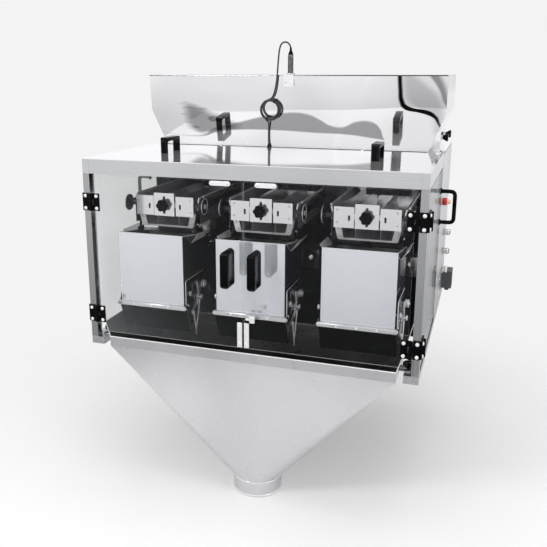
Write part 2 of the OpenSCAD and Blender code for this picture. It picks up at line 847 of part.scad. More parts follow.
module chute_spigot() {
    color(dark_steel) translate([0, front + spigot_y, spigot_z]) difference() {
        cylinder(h = spigot_l, r = spigot_r, $fn = 96);
        translate([0, 0, -cut]) cylinder(h = spigot_l + 2 * cut, r = spigot_r - sheet, $fn = 96);
    }
}

module chute_knob(side) {
    color(black) translate([side * ear_x, front + ear_y, rim_z + 0.4]) {
        star_knob(14, 12, 6);
        translate([0, 0, base_h - rim_z]) cylinder(h = 4, r = 3);
    }
}

/* ---------- side fittings ---------- */

// Lit push button on the right side panel: a bezel with its body, and the cap that is pushed
button_d = 24;
cap_r = 7.4;
module side_button_bezel() {
    color("crimson") translate([half_w, button_at[0], button_at[1]]) rotate([0, 90, 0]) difference() {
        union() {
            cylinder(h = 13, r = button_d / 2);
            translate([0, 0, -30]) cylinder(h = 31, r = button_hole_r - 0.3);
        }
        translate([0, 0, -20]) cylinder(h = 40, r = cap_r + 0.4);
    }
}

module side_button_cap() {
    shoulder = 20;
    color("khaki") translate([half_w, button_at[0], button_at[1]]) rotate([0, 90, 0]) {
        translate([0, 0, -12]) cylinder(h = 12 + shoulder, r = cap_r);
        translate([0, 0, shoulder]) cylinder(h = 4, r1 = cap_r, r2 = cap_r - 1.4);
    }
}

// Three connectors on the right side panel and the gland of the sensor lead in the deck
module cable_glands() {
    inside = 14;
    color("silver") {
        for (z = gland_z) translate([half_w - inside, gland_y, z]) rotate([0, 90, 0]) {
            cylinder(h = inside + 20, r = gland_r - 0.2);
            translate([0, 0, inside]) cylinder(h = 6, r = 14, $fn = 6);
            translate([0, 0, inside + 10]) cylinder(h = 12, r = 11);
        }
        translate([lead_end[0], lead_end[1], feed_z0]) cylinder(h = lead_end[2] - feed_z0, r = lead_d);
    }
}

module inlet_box() {
    box_x = 34;
    box_y = [rear - 74, rear - 10];
    box_z = [33, 96];
    color(dark_steel) {
        block([half_w, box_y[0], box_z[0]], [half_w + box_x, box_y[1], box_z[1]]);
        rod([half_w + box_x / 2, (box_y[0] + box_y[1]) / 2, box_z[0] - 14], "z", 15, 8);
    }
}

front_posts();
top_rails();
base_rails();
side_panel(-1);  // side_panel_left
side_panel(1);  // side_panel_right
rear_cover();
inner_panels();
deck_plate();
top_cover();
cover_handles();
feed_hopper();
hopper_spouts();
hopper_brackets();
hopper_clamp_knobs();
level_sensor();
sensor_lead();
sensor_lead_coil();
vibrator_bases();
leaf_springs();
load_cells();
door_actuators();
gate_frames();
hinge_fixed_leaves();
discharge_chute();
chute_spigot();
chute_knob(-1);  // chute_knob_left
chute_knob(1);  // chute_knob_right
side_button_bezel();
side_button_cap();
cable_glands();
inlet_box();
front_door(-1);  // front_door_left
front_fittings(-1);  // front_door_left_fittings
front_door(1);  // front_door_right
front_fittings(1);  // front_door_right_fittings
side_door(-1);  // side_door_left
side_fittings(-1);  // side_door_left_fittings
side_door(1);  // side_door_right
side_fittings(1);  // side_door_right_fittings
feeder_pan(1);  // feeder_pan_1
feeder_pan(2);  // feeder_pan_2
feeder_pan(3);  // feeder_pan_3
gate_plates(1);  // gate_plates_1
gate_plates(2);  // gate_plates_2
gate_plates(3);  // gate_plates_3
gate_knob(1);  // gate_knob_1
gate_knob(2);  // gate_knob_2
gate_knob(3);  // gate_knob_3
flap_gate(1);  // flap_gate_1
flap_gate(2);  // flap_gate_2
flap_gate(3);  // flap_gate_3
weigh_hopper(1);  // weigh_hopper_1
weigh_hopper(2);  // weigh_hopper_2
weigh_hopper(3);  // weigh_hopper_3
weigh_door(1);  // weigh_door_1
weigh_door(2);  // weigh_door_2
weigh_door(3);  // weigh_door_3
toggle_lever(1);  // toggle_lever_1
toggle_lever(2);  // toggle_lever_2
toggle_lever(3);  // toggle_lever_3
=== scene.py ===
"""Looks of a three-head linear weigher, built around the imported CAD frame."""

import math

import bmesh
import bpy
from mathutils import Matrix, Vector


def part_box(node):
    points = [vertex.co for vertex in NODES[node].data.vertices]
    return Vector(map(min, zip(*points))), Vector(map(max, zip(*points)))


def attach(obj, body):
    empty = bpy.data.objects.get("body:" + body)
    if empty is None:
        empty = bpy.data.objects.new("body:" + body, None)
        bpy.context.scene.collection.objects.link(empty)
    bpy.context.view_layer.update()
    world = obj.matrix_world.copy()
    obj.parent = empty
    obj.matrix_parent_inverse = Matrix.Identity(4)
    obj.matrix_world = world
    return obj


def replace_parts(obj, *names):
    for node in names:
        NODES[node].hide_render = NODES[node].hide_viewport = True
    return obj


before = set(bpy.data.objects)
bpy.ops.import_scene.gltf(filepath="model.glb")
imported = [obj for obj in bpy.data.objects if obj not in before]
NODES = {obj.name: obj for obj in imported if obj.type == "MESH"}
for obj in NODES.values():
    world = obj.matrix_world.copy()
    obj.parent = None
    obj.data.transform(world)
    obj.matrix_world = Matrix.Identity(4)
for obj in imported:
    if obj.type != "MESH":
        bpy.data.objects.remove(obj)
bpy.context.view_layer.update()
SCENE = bpy.context.scene

# ------------ places from the frame

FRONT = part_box("front_posts")[0].y
HALF_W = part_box("front_posts")[1].x
RAIL_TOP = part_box("top_rails")[1].z
DECK_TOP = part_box("top_cover")[1].z
FLOOR_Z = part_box("chute_spigot")[0].z - 0.002
HEADS = (1, 2, 3)
SIDES = {"left": -1, "right": 1}
ROOT = "machine_frame"

RIGHT, BACK, UP, AHEAD = (1, 0, 0), (0, 1, 0), (0, 0, 1), (0, -1, 0)
ON_FRONT = Matrix(((1, 0, 0, 0), (0, 0, -1, 0), (0, 1, 0, 0), (0, 0, 0, 1)))
QUARTER = Matrix.Rotation(math.pi / 2, 4, "Z")


def middle(node):
    low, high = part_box(node)
    return (low + high) / 2


def head_x(n):
    return middle(f"feeder_pan_{n}").x


# ------------ shader nodes

def add_node(tree, kind, inputs, **settings):
    """A shader node. Each input takes a value, or the socket that feeds it."""
    node = tree.nodes.new("ShaderNode" + kind)
    for name, setting in settings.items():
        setattr(node, name, setting)
    for key, value in inputs.items():
        if isinstance(value, bpy.types.NodeSocket):
            tree.links.new(value, node.inputs[key])
        else:
            node.inputs[key].default_value = value
    return node


def split(tree, vector):
    """The X, Y and Z outputs of a vector."""
    return add_node(tree, "SeparateXYZ", {0: vector}).outputs


def rescale(tree, source, start, end, low=0.0, high=1.0, kind="LINEAR"):
    """Maps the range from start to end onto low to high."""
    ranges = {"Value": source, "From Min": start, "From Max": end, "To Min": low, "To Max": high}
    return add_node(tree, "MapRange", ranges, interpolation_type=kind).outputs["Result"]


def color_ramp(tree, source, stops):
    """A colour ramp through stops of a position and a colour."""
    node = add_node(tree, "ValToRGB", {0: source})
    elements = node.color_ramp.elements
    while len(elements) < len(stops):
        elements.new(0.5)
    for element, (position, color) in zip(elements, stops):
        element.position = position
        element.color = (*color, 1)
    return node.outputs["Color"]


def combine(tree, operation, a, b, clamp=True):
    return add_node(tree, "Math", {0: a, 1: b}, operation=operation, use_clamp=clamp).outputs[0]


def mix(tree, factor, a, b):
    return add_node(tree, "Mix", {"Factor": factor, "A": a, "B": b}, data_type="RGBA").outputs["Result"]


def object_place(tree):
    return add_node(tree, "TexCoord", {}).outputs["Object"]


def object_noise(tree, scale, stretch=(1, 1, 1), detail=3.0):
    mapping = add_node(tree, "Mapping", {0: object_place(tree), "Scale": stretch})
    inputs = {"Vector": mapping.outputs[0], "Scale": scale, "Detail": detail}
    return add_node(tree, "TexNoise", inputs).outputs["Fac"]


def feed(tree, socket, source):
    """Links a source to an input of the material's own shader."""
    tree.links.new(source, tree.nodes["Principled BSDF"].inputs[socket])


def vary(tree, source, socket, low, high):
    """Drives a shader input between two values or colours from a 0 to 1 pattern."""
    if isinstance(low, tuple):
        feed(tree, socket, color_ramp(tree, source, [(0.3, low), (0.7, high)]))
    else:
        feed(tree, socket, rescale(tree, source, 0.3, 0.7, low, high))


def bump(tree, source, distance, strength=1.0):
    inputs = {"Strength": strength, "Distance": distance, "Height": source}
    feed(tree, "Normal", add_node(tree, "Bump", inputs).outputs["Normal"])


def facing(tree, axis, operation, limit):
    """1 where the surface's normal passes a limit along an axis."""
    normal = add_node(tree, "NewGeometry", {}).outputs["Normal"]
    return combine(tree, operation, split(tree, normal)[axis], limit)


def shade(tree, base, mask, tone):
    """Lays a tone over a colour where a mask is 1."""
    return mix(tree, mask, base, (tone, tone, tone * 1.02, 1))


def curve_mask(tree, across, up, wide, tall, points, edge):
    """1 above a curve in a window of the sheet, wide by tall, with a soft edge."""
    curve = add_node(tree, "FloatCurve", {"Value": rescale(tree, across, *wide)})
    line = curve.mapping.curves[0]
    marks = [((a - wide[0]) / (wide[1] - wide[0]), (b - tall[0]) / (tall[1] - tall[0])) for a, b in points]
    line.points[0].location = marks[0]
    line.points[-1].location = marks[-1]
    for mark in marks[1:-1]:
        line.points.new(*mark)
    curve.mapping.update()
    difference = combine(tree, "SUBTRACT", rescale(tree, up, *tall), curve.outputs["Value"], False)
    return rescale(tree, difference, -edge, edge, kind="SMOOTHSTEP")


def band(tree, across, up, wide, tall, under, over, edges):
    """1 between two curves."""
    above = curve_mask(tree, across, up, wide, tall, under, edges[0])
    below = curve_mask(tree, across, up, wide, tall, over, edges[1])
    return combine(tree, "SUBTRACT", above, below)


# ------------ camera, world and lights

def make_camera():
    data = bpy.data.cameras.new("camera")
    data.sensor_width = 36
    data.lens = 46.13
    data.shift_x, data.shift_y = 0.0302, -0.0448
    data.clip_end = 50
    camera = bpy.data.objects.new("camera", data)
    camera.location = (0.6104, FRONT - 1.7223, RAIL_TOP + 0.2325)
    camera.rotation_euler = (math.radians(75.97), 0, math.radians(18.32))
    SCENE.collection.objects.link(camera)
    SCENE.camera = camera


# brightness of the studio that the steel reflects, from straight below to straight above
STUDIO = [(0.0, 0.1), (0.3, 0.3), (0.36, 0.62), (0.42, 0.92), (0.6, 1.0), (0.66, 0.85), (0.76, 0.3),
          (0.88, 0.55), (1.0, 0.95)]
BACKDROP = (0.9, 0.9, 0.9, 1)


def make_world():
    """A plain pale backdrop to the eye, and a studio with darker corners for the steel to reflect."""
    world = bpy.data.worlds.new("studio")
    SCENE.world = world
    world.use_nodes = True
    tree = world.node_tree
    tree.nodes.clear()
    height = split(tree, add_node(tree, "TexCoord", {}).outputs["Generated"])["Z"]
    stops = [(position, (value, value, value * 1.02)) for position, value in STUDIO]
    bands = color_ramp(tree, rescale(tree, height, -1, 1), stops)
    studio = add_node(tree, "Background", {"Color": bands}).outputs[0]
    pale = add_node(tree, "Background", {"Color": BACKDROP}).outputs[0]
    seen = add_node(tree, "LightPath", {}).outputs["Is Camera Ray"]
    choose = add_node(tree, "MixShader", {0: seen, 1: studio, 2: pale})
    add_node(tree, "OutputWorld", {"Surface": choose.outputs[0]})


def area_light(name, at, aim, size, power):
    data = bpy.data.lights.new(name, "AREA")
    data.shape = "RECTANGLE"
    data.size, data.size_y = size
    data.energy = power
    light = bpy.data.objects.new(name, data)
    light.location = at
    light.rotation_euler = (Vector(aim) - Vector(at)).to_track_quat("-Z", "Y").to_euler()
    SCENE.collection.objects.link(light)


def make_lights():
    area_light("key", (-1.4, -2.6, 2.4), (0, -0.1, 0.2), (0.9, 0.9), 40)
    area_light("fill", (2.6, -1.4, 1.2), (0, 0, 0.2), (1.2, 2.0), 18)
    area_light("top", (0.2, -0.2, 2.8), (0, 0, 0), (2.0, 2.0), 26)


# ------------ materials

def new_material(name, color, rough, metal=0.0):
    material = bpy.data.materials.new(name)
    material.use_nodes = True
    shader = material.node_tree.nodes["Principled BSDF"]
    for socket, value in (("Base Color", (*color, 1)), ("Roughness", rough), ("Metallic", metal)):
        shader.inputs[socket].default_value = value
    return material, material.node_tree, shader


def darker(color, factor):
    return tuple(c * factor for c in color)


def brushed(name, color, rough, stretch):
    """Satin steel with fine lines, long where the stretch is small."""
    material, tree, _ = new_material(name, color, rough, 1.0)
    grain = object_noise(tree, 1.0, stretch, 4.0)
    vary(tree, grain, "Roughness", rough - 0.06, rough + 0.06)
    vary(tree, object_noise(tree, 4.0), "Base Color", darker(color, 0.9), color)
    bump(tree, grain, 0.00006, 0.4)
    return material


def polished(name, color, rough, wave=0.0, scale=4.0, metal=1.0):
    """Near-mirror sheet, whose slight waviness bends what it reflects."""
    material, tree, _ = new_material(name, color, rough, metal)
    if wave:
        bump(tree, object_noise(tree, scale, (1, 1, 1), 0.0), wave)
    vary(tree, object_noise(tree, 14.0), "Roughness", rough, rough + 0.03)
    vary(tree, object_noise(tree, 5.0), "Base Color", darker(color, 0.97), color)
    return material


def bucket_sheet(name):
    """Weigh hopper sheet: bright on its front wall, and painted near black on its side and rear walls as
    painted shade.
    """
    # walls holds the painted shade colour of the side and rear walls; front is the front wall's bright
    # colour.
    walls, front = (0.05, 0.052, 0.064), (0.87, 0.892, 0.925)
    material, tree, _ = new_material(name, front, 0.025, 0.5)
    feed(tree, "Base Color", mix(tree, facing(tree, "Y", "LESS_THAN", -0.7), (*walls, 1), (*front, 1)))
    vary(tree, object_noise(tree, 14.0), "Roughness", 0.02, 0.04)
    return material


# Painted reflections on the feed hopper's front, standing in for what its buckled sheet reflects, by place on
# the sheet in metres.
# Each lies between two curves: the grey swell reflection's are heights over X, the others' are X over
# heights.
HOPPER_WIDE, HOPPER_TALL = (-0.48, 0.48), (0.55, 0.78)
SWELL_REFLECTION = ([(-0.48, 0.6), (-0.312, 0.582), (-0.239, 0.6), (-0.169, 0.607), (-0.033, 0.608), (0.082, 0.603),
          (0.186, 0.6), (0.272, 0.59), (0.318, 0.585), (0.48, 0.585)],
         [(-0.48, 0.6), (-0.312, 0.585), (-0.26, 0.61), (-0.168, 0.632), (-0.082, 0.652), (0.01, 0.665),
          (0.05, 0.662), (0.098, 0.644), (0.134, 0.626), (0.162, 0.622), (0.216, 0.641), (0.247, 0.643),
          (0.288, 0.618), (0.305, 0.585), (0.48, 0.585)], (0.012, 0.02))
DARK_CRESCENT_REFLECTION = ([(0.55, -0.31), (0.59, -0.315), (0.61, -0.345), (0.65, -0.36), (0.7, -0.36), (0.78, -0.36)],
            [(0.55, -0.31), (0.59, -0.3), (0.62, -0.17), (0.64, -0.215), (0.66, -0.262), (0.68, -0.31),
             (0.7, -0.36), (0.78, -0.36)], (0.03, 0.05))
DARK_LINE_REFLECTION = ([(0.55, 0.5), (0.64, 0.455), (0.66, 0.436), (0.672, 0.395), (0.676, 0.368), (0.684, 0.352),
         (0.7, 0.342), (0.74, 0.337), (0.78, 0.334)],
        [(0.55, 0.5), (0.64, 0.463), (0.662, 0.452), (0.678, 0.425), (0.684, 0.385), (0.692, 0.365),
         (0.705, 0.356), (0.74, 0.35), (0.78, 0.347)], (0.004, 0.004))
CORNER_REFLECTION = ([(0.55, 0.5), (0.66, 0.5), (0.7, 0.472), (0.74, 0.455), (0.78, 0.425)],
          [(0.55, 0.5), (0.66, 0.5), (0.71, 0.485), (0.75, 0.472), (0.78, 0.455)], (0.006, 0.012))
GREY_REFLECTION = ([(0.55, 0.47), (0.62, 0.45), (0.66, 0.44), (0.7, 0.37), (0.74, 0.352), (0.78, 0.348)],
        [(0.55, 0.48), (0.62, 0.47), (0.68, 0.472), (0.72, 0.455), (0.75, 0.42), (0.78, 0.38)], (0.02, 0.02))
STREAK_HIGHLIGHT = ([(0.55, 0.13), (0.62, 0.16), (0.67, 0.182), (0.72, 0.212), (0.78, 0.243)],
          [(0.55, 0.13), (0.62, 0.178), (0.67, 0.2), (0.72, 0.228), (0.78, 0.252)], (0.012, 0.03))


def hopper_sheet(name):
    """Mirror sheet of the feed hopper. Its front is painted with the soft grey swells, dark crescent, dark
    line and bright streak that its buckled sheet would reflect, as painted reflections and a painted
    highlight.
    """
    material, tree, _ = new_material(name, (0.95, 0.95, 0.955), 0.03, 0.97)
    place = split(tree, object_place(tree))
    x, z = place["X"], place["Z"]
    swell_reflection = band(tree, x, z, HOPPER_WIDE, HOPPER_TALL, *SWELL_REFLECTION)
    dark_crescent_reflection, line, corner, grey_reflection, streak_highlight = [band(tree, z, x, HOPPER_TALL, HOPPER_WIDE, *curves)
                                            for curves in (DARK_CRESCENT_REFLECTION, DARK_LINE_REFLECTION, CORNER_REFLECTION, GREY_REFLECTION, STREAK_HIGHLIGHT)]
    grain = object_noise(tree, 1.0, (14, 14, 90), 1.0)
    # Noise cuts gaps in the painted dark crescent reflection.
    crescent_breakup = combine(tree, "MULTIPLY", combine(tree, "GREATER_THAN", grain, 0.4), 0.22)
    # Soft grey clouds, painted on as soft reflections.
    soft_reflection = object_noise(tree, 3.0, (1, 1, 2.2), 1.0)
    color = color_ramp(tree, soft_reflection, [(0.35, (0.99, 0.99, 0.99)), (0.7, (0.84, 0.84, 0.845))])
    front = facing(tree, "Y", "LESS_THAN", -0.7)
    # Each painted reflection, and the painted highlight, lays its tone on the faces that look to the front.
    for mask, tone, weight in ((grey_reflection, 0.55, 0.8), (streak_highlight, 1.0, 1.0), (swell_reflection, 0.33, 0.92),
                               (combine(tree, "SUBTRACT", dark_crescent_reflection, crescent_breakup), 0.1, 0.9), (corner, 0.2, 0.8),
                               (line, 0.004, 1.0)):
        mask = combine(tree, "MULTIPLY", combine(tree, "MULTIPLY", mask, front), weight)
        color = shade(tree, color, mask, tone)
    # Painted shade: the faces that look right are darkened, and near black towards the top.
    right_wall_shade = facing(tree, "X", "GREATER_THAN", 0.6)
    right_wall_top_shade = combine(tree, "MULTIPLY", right_wall_shade, rescale(tree, z, 0.715, 0.75, kind="SMOOTHSTEP"))
    feed(tree, "Base Color", shade(tree, shade(tree, color, right_wall_shade, 0.42), right_wall_top_shade, 0.02))
    bump(tree, object_noise(tree, 3.4, (1, 1, 1), 0.0), 0.006)
    return material


def chute_sheet(name):
    """Satin sheet, pale outside; its upward-facing inside is painted dark and made less metallic, as painted
    shade.
    """
    material, tree, _ = new_material(name, (0.6, 0.6, 0.6), 0.3, 0.9)
    inside = facing(tree, "Z", "GREATER_THAN", 0.08)
    cloud = object_noise(tree, 2.6, (1, 1, 0.7), 1.5)
    pale = color_ramp(tree, cloud, [(0.3, (0.6, 0.6, 0.61)), (0.7, (0.7, 0.7, 0.705))])
    # Painted shade: faces looking up, inside the chute, take a dark tone and less metal.
    feed(tree, "Base Color", shade(tree, pale, inside, 0.1))
    feed(tree, "Metallic", combine(tree, "SUBTRACT", 0.9, combine(tree, "MULTIPLY", inside, 0.6)))
    vary(tree, object_noise(tree, 1.0, (40, 260, 6), 3.0), "Roughness", 0.27, 0.33)
    bump(tree, object_noise(tree, 2.5, (1, 1, 0.6), 0.0), 0.004)
    return material


def plastic(name, color, rough, grain=0.00003, specular=0.5):
    material, tree, shader = new_material(name, color, rough)
    shader.inputs["Specular IOR Level"].default_value = specular
    bump(tree, object_noise(tree, 900.0), grain, 0.5)
    vary(tree, object_noise(tree, 25.0), "Roughness", rough - 0.03, rough + 0.05)
    vary(tree, object_noise(tree, 60.0), "Base Color", darker(color, 0.85), color)
    return material


def clear_sheet(name):
    """Clear acrylic, all but unseen face on and glossier towards grazing."""
    acrylic_ior = 1.49
    material, tree, shader = new_material(name, (0.93, 0.96, 0.97), 0.03)
    shader.inputs["IOR"].default_value = acrylic_ior
    gloss = add_node(tree, "Fresnel", {"IOR": acrylic_ior}).outputs[0]
    feed(tree, "Alpha", rescale(tree, gloss, 0.045, 0.25, 0.006, 0.4))
    vary(tree, object_noise(tree, 30.0), "Roughness", 0.02, 0.05)
    return material


def floor_material():
    """Pale matt floor that fades out into the backdrop away from the object."""
    material, tree, shader = new_material("floor", (0.79, 0.79, 0.79), 0.95)
    shader.inputs["Emission Color"].default_value = (1, 1, 1, 1)
    shader.inputs["Emission Strength"].default_value = 0.15
    distance = add_node(tree, "VectorMath", {0: object_place(tree)}, operation="LENGTH").outputs["Value"]
    feed(tree, "Alpha", rescale(tree, distance, 0.75, 1.7, 1.0, 0.0, "SMOOTHERSTEP"))
    vary(tree, object_noise(tree, 3.0), "Base Color", (0.78, 0.78, 0.78), (0.8, 0.8, 0.8))
    return material


STEEL = (0.62, 0.625, 0.63)
LOOKS = {
    "satin_x": (brushed, (0.68, 0.685, 0.69), 0.3, (3, 200, 200)),
    "satin_y": (brushed, STEEL, 0.3, (200, 3, 200)),
    "satin_z": (brushed, (0.46, 0.465, 0.47), 0.26, (200, 200, 3)),
    # Pale steel, mostly diffuse white so that small steel parts read bright from every side: partly the
    # steel's own pale colour, partly a painted highlight.
    "bright": (polished, (0.93, 0.93, 0.93), 0.16, 0.0, 4.0, 0.3),
    "bucket": (bucket_sheet,),
    "mirror": (hopper_sheet,),
    "cover": (polished, (0.93, 0.93, 0.935), 0.05, 0.0008, 3.0, 0.85),
    "plate": (polished, (0.86, 0.86, 0.87), 0.07, 0.0, 4.0, 0.7),
    # The dark look and the one after it are steel painted near black, as painted shade on parts inside the
    # machine.
    "dark": (polished, (0.034, 0.035, 0.045), 0.14, 0.002, 4.0, 0.75),
    "dusk": (polished, (0.045, 0.046, 0.056), 0.12, 0.001),
    "chute": (chute_sheet,),
    "black": (plastic, (0.003, 0.003, 0.004), 0.15, 0.00003, 0.06),
    "grey": (plastic, (0.05, 0.052, 0.055), 0.4),
    "cream": (plastic, (0.8, 0.72, 0.48), 0.35),
    "red": (plastic, (0.62, 0.006, 0.018), 0.28),
    "clear": (clear_sheet,),
    "nickel": (brushed, (0.74, 0.735, 0.72), 0.14, (150, 150, 40)),
    "gunmetal": (brushed, (0.16, 0.165, 0.175), 0.22, (150, 150, 20)),
    "cast": (plastic, (0.03, 0.033, 0.038), 0.6, 0.0004),
    "spring": (brushed, (0.3, 0.28, 0.25), 0.3, (200, 200, 5)),
    "rubber": (plastic, (0.02, 0.02, 0.026), 0.42),
}
M = {name: make(name, *values) for name, (make, *values) in LOOKS.items()}


def per_head(*parts):
    return [f"{part}_{n}" for part in parts for n in HEADS]


NODE_LOOKS = {
    "satin_x": ["top_rails", "rear_cover"],
    "satin_z": ["front_posts"],
    "satin_y": ["base_rails", "side_panel_left", "side_panel_right"],
    "bucket": per_head("weigh_hopper"),
    "mirror": ["feed_hopper"],
    "cover": ["top_cover", "deck_plate"],
    "plate": ["hopper_brackets"] + per_head("feeder_pan", "gate_plates", "toggle_lever"),
    # Steel parts inside the machine, in painted shade.
    "dark": ["inner_panels", "hopper_spouts"],
    "dusk": ["gate_frames"] + per_head("flap_gate", "weigh_door"),
    "chute": ["discharge_chute", "chute_spigot"],
    "grey": ["inlet_box"],
    "clear": ["front_door_left", "front_door_right", "side_door_left", "side_door_right"],
    "nickel": ["load_cells", "door_actuators"],
    "cast": ["vibrator_bases"],
    "spring": ["leaf_springs"],
}


def dress_cad_nodes():
    for look, names in NODE_LOOKS.items():
        for name in names:
            NODES[name].data.materials.clear()
            NODES[name].data.materials.append(M[look])


# ------------ mesh tools

def link_mesh(name, mesh):
    """An object made of a bmesh, which is used up."""
    data = bpy.data.meshes.new(name)
    bmesh.ops.recalc_face_normals(mesh, faces=mesh.faces)
    mesh.to_mesh(data)
    mesh.free()
    made = bpy.data.objects.new(name, data)
    SCENE.collection.objects.link(made)
    return made


def finish(name, mesh, look, body, bevel=0.0, segments=2, sharp=35):
    """A visible piece in one look, riding a body, with its edges bevelled."""
    piece = link_mesh(name, mesh)
    data = piece.data
    data.materials.append(M[look])
    data.polygons.foreach_set("use_smooth", [True] * len(data.polygons))
    data.set_sharp_from_angle(angle=math.radians(sharp))
    if bevel:
        modifier = piece.modifiers.new("edges", "BEVEL")
        modifier.width = bevel
        modifier.segments = segments
        modifier.limit_method = "ANGLE"
        modifier.angle_limit = math.radians(sharp)
    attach(piece, body)
    return piece


def add_box(mesh, a, b):
    low = [min(a[k], b[k]) for k in range(3)]
    high = [max(a[k], b[k]) for k in range(3)]
    verts = [mesh.verts.new((x, y, z)) for z in (low[2], high[2]) for y in (low[1], high[1])
             for x in (low[0], high[0])]
    for face in ((0, 2, 3, 1), (4, 5, 7, 6), (0, 1, 5, 4), (2, 6, 7, 3), (0, 4, 6, 2), (1, 3, 7, 5)):
        mesh.faces.new([verts[k] for k in face])


def mm(outline):
    """An outline given in millimetres, in metres."""
    return [(a * 0.001, b * 0.001) for a, b in outline]


def circle(steps):
    """The angles of points spaced evenly round a circle."""
    return [2 * math.pi * k / steps for k in range(steps)]


def pointing(at, direction):
    """A frame at a point, with its Z along a direction."""
    return Matrix.Translation(at) @ Vector(direction).to_track_quat("Z", "Y").to_matrix().to_4x4()


def axes(at, x, y, z):
    """A frame at a point, from the directions of its axes."""
    return Matrix.Translation(at) @ Matrix((x, y, z)).transposed().to_4x4()


def add_skin(mesh, rings, closed=False):
    """Faces between rings of vertices, with end caps unless the last ring meets the first."""
    pairs = list(zip(rings, rings[1:]))
    if closed:
        pairs.append((rings[-1], rings[0]))
    else:
        mesh.faces.new(rings[0][::-1])
        mesh.faces.new(rings[-1])
    for lower, upper in pairs:
        for k in range(len(lower)):
            j = (k + 1) % len(lower)
            mesh.faces.new((lower[k], lower[j], upper[j], upper[k]))


def add_prism(mesh, outline, place, height):
    """An outline in the XY plane of a frame, extruded along its Z."""
    add_skin(mesh, [[mesh.verts.new(place @ Vector((x, y, z))) for x, y in outline] for z in (0, height)])


def add_lathe(mesh, profile, place, steps=24, lobes=0, depth=0.0, hollow=False):
    """A profile of (radius, height) turned about a frame's Z, with scalloped sides where lobes is set."""
    rings = []
    for radius, height in profile:
        ring = []
        for angle in circle(steps):
            r = radius * (1 - depth + depth * abs(math.cos(lobes * angle / 2)) ** 0.7) if lobes else radius
            ring.append(mesh.verts.new(place @ Vector((r * math.cos(angle), r * math.sin(angle), height))))
        rings.append(ring)
    add_skin(mesh, rings, hollow)


def add_tube(mesh, points, radius, sides=12, closed=False):
    points = [Vector(p) for p in points]
    count = len(points)
    rings = []
    normal = None
    for k, point in enumerate(points):
        after = points[(k + 1) % count] if closed or k + 1 < count else point
        before = points[k - 1] if closed or k else point
        heading = (after - before).normalized()
        if normal is None:
            normal = heading.orthogonal().normalized()
        normal = (normal - heading * normal.dot(heading)).normalized()
        other = heading.cross(normal)
        rings.append([mesh.verts.new(point + radius * (math.cos(a) * normal + math.sin(a) * other))
                      for a in circle(sides)])
    add_skin(mesh, rings, closed)


def rounded_path(points, radius, steps=6):
    """A path whose inner corners are arcs."""
    points = [Vector(p) for p in points]
    path = [points[0]]
    for before, corner, after in zip(points, points[1:], points[2:]):
        start = corner + (before - corner).normalized() * radius
        end = corner + (after - corner).normalized() * radius
        for k in range(steps + 1):
            t = k / steps
            path.append((1 - t) ** 2 * start + 2 * t * (1 - t) * corner + t ** 2 * end)
    return path + [points[-1]]


def stadium(length, width, steps=10):
    """The outline of a bar with round ends."""
    r = width / 2
    half = length / 2 - r
    outline = []
    for sign in (1, -1):
        for k in range(steps + 1):
            angle = math.pi * k / steps - math.pi / 2
            outline.append((sign * (half + r * math.cos(angle)), sign * r * math.sin(angle)))
    return outline


def screw(mesh, at, direction, radius, height=None):
    """A domed screw head."""
    h = height or radius * 0.6
    profile = [(0.96, -0.0004 / h), (1, 0.2), (0.92, 0.55), (0.66, 0.88), (0.3, 1), (0.24, 0.8)]
    add_lathe(mesh, [(radius * a, h * b) for a, b in profile], pointing(at, direction), 16)


# ------------ sensor lead

LEAD_D = 0.005
RING_R, RING_START, RING_TURNS, RING_STEPS = 0.03, 108, 3 + 117 / 360, 66
LANE_R = 0.0027
LEAD_OUT = [(0, 455, 851), (0, 455, 864), (-6, 452, 876), (-16, 444, 880), (-25, 436, 874), (-29, 431, 860),
            (-31, 429, 840), (-33, 429, 815), (-35, 430, 790), (-38, 431, 760), (-44, 432, 730),
            (-52, 433, 710)]
LEAD_IN = [(-73, 435, 643.5), (-69, 437, 638.5), (-67, 440.5, 633), (-67, 444.5, 626.5), (-68, 447.5, 618),
           (-69, 449.5, 607), (-70, 451, 594), (-70, 452.5, 579), (-70, 453, 563)]
RING_CENTRE = (-60, 434, 673)


def from_front(p):
    """A place in millimetres from the front frame's face."""
    return Vector((p[0] * 0.001, FRONT + p[1] * 0.001, p[2] * 0.001))


def smoothed(points):
    """Cuts the corners of a route, so that no bend is sharp."""
    for _ in range(2):
        cut = [points[0]]
        for a, b in zip(points, points[1:]):
            cut += [a.lerp(b, 0.25), a.lerp(b, 0.75)]
        points = cut + [points[-1]]
    return points


def lead_route():
    """Sensor to tied ring, a little over three turns that lie side by side, and on to the gland."""
    route = [from_front(p) for p in LEAD_OUT]
    centre = from_front(RING_CENTRE)
    for k in range(RING_STEPS + 1):
        lane = RING_TURNS * k / RING_STEPS
        angle = math.radians(RING_START + 360 * lane)
        spread = math.radians(-90 + 120 * lane)
        radius = RING_R + LANE_R * math.cos(spread)
        sway = 0.0012 * math.sin(2 * math.pi * lane / 3)
        route.append(centre + Vector((radius * math.cos(angle) + sway, LANE_R * math.sin(spread),
                                      radius * math.sin(angle))))
    return smoothed(route + [from_front(p) for p in LEAD_IN])


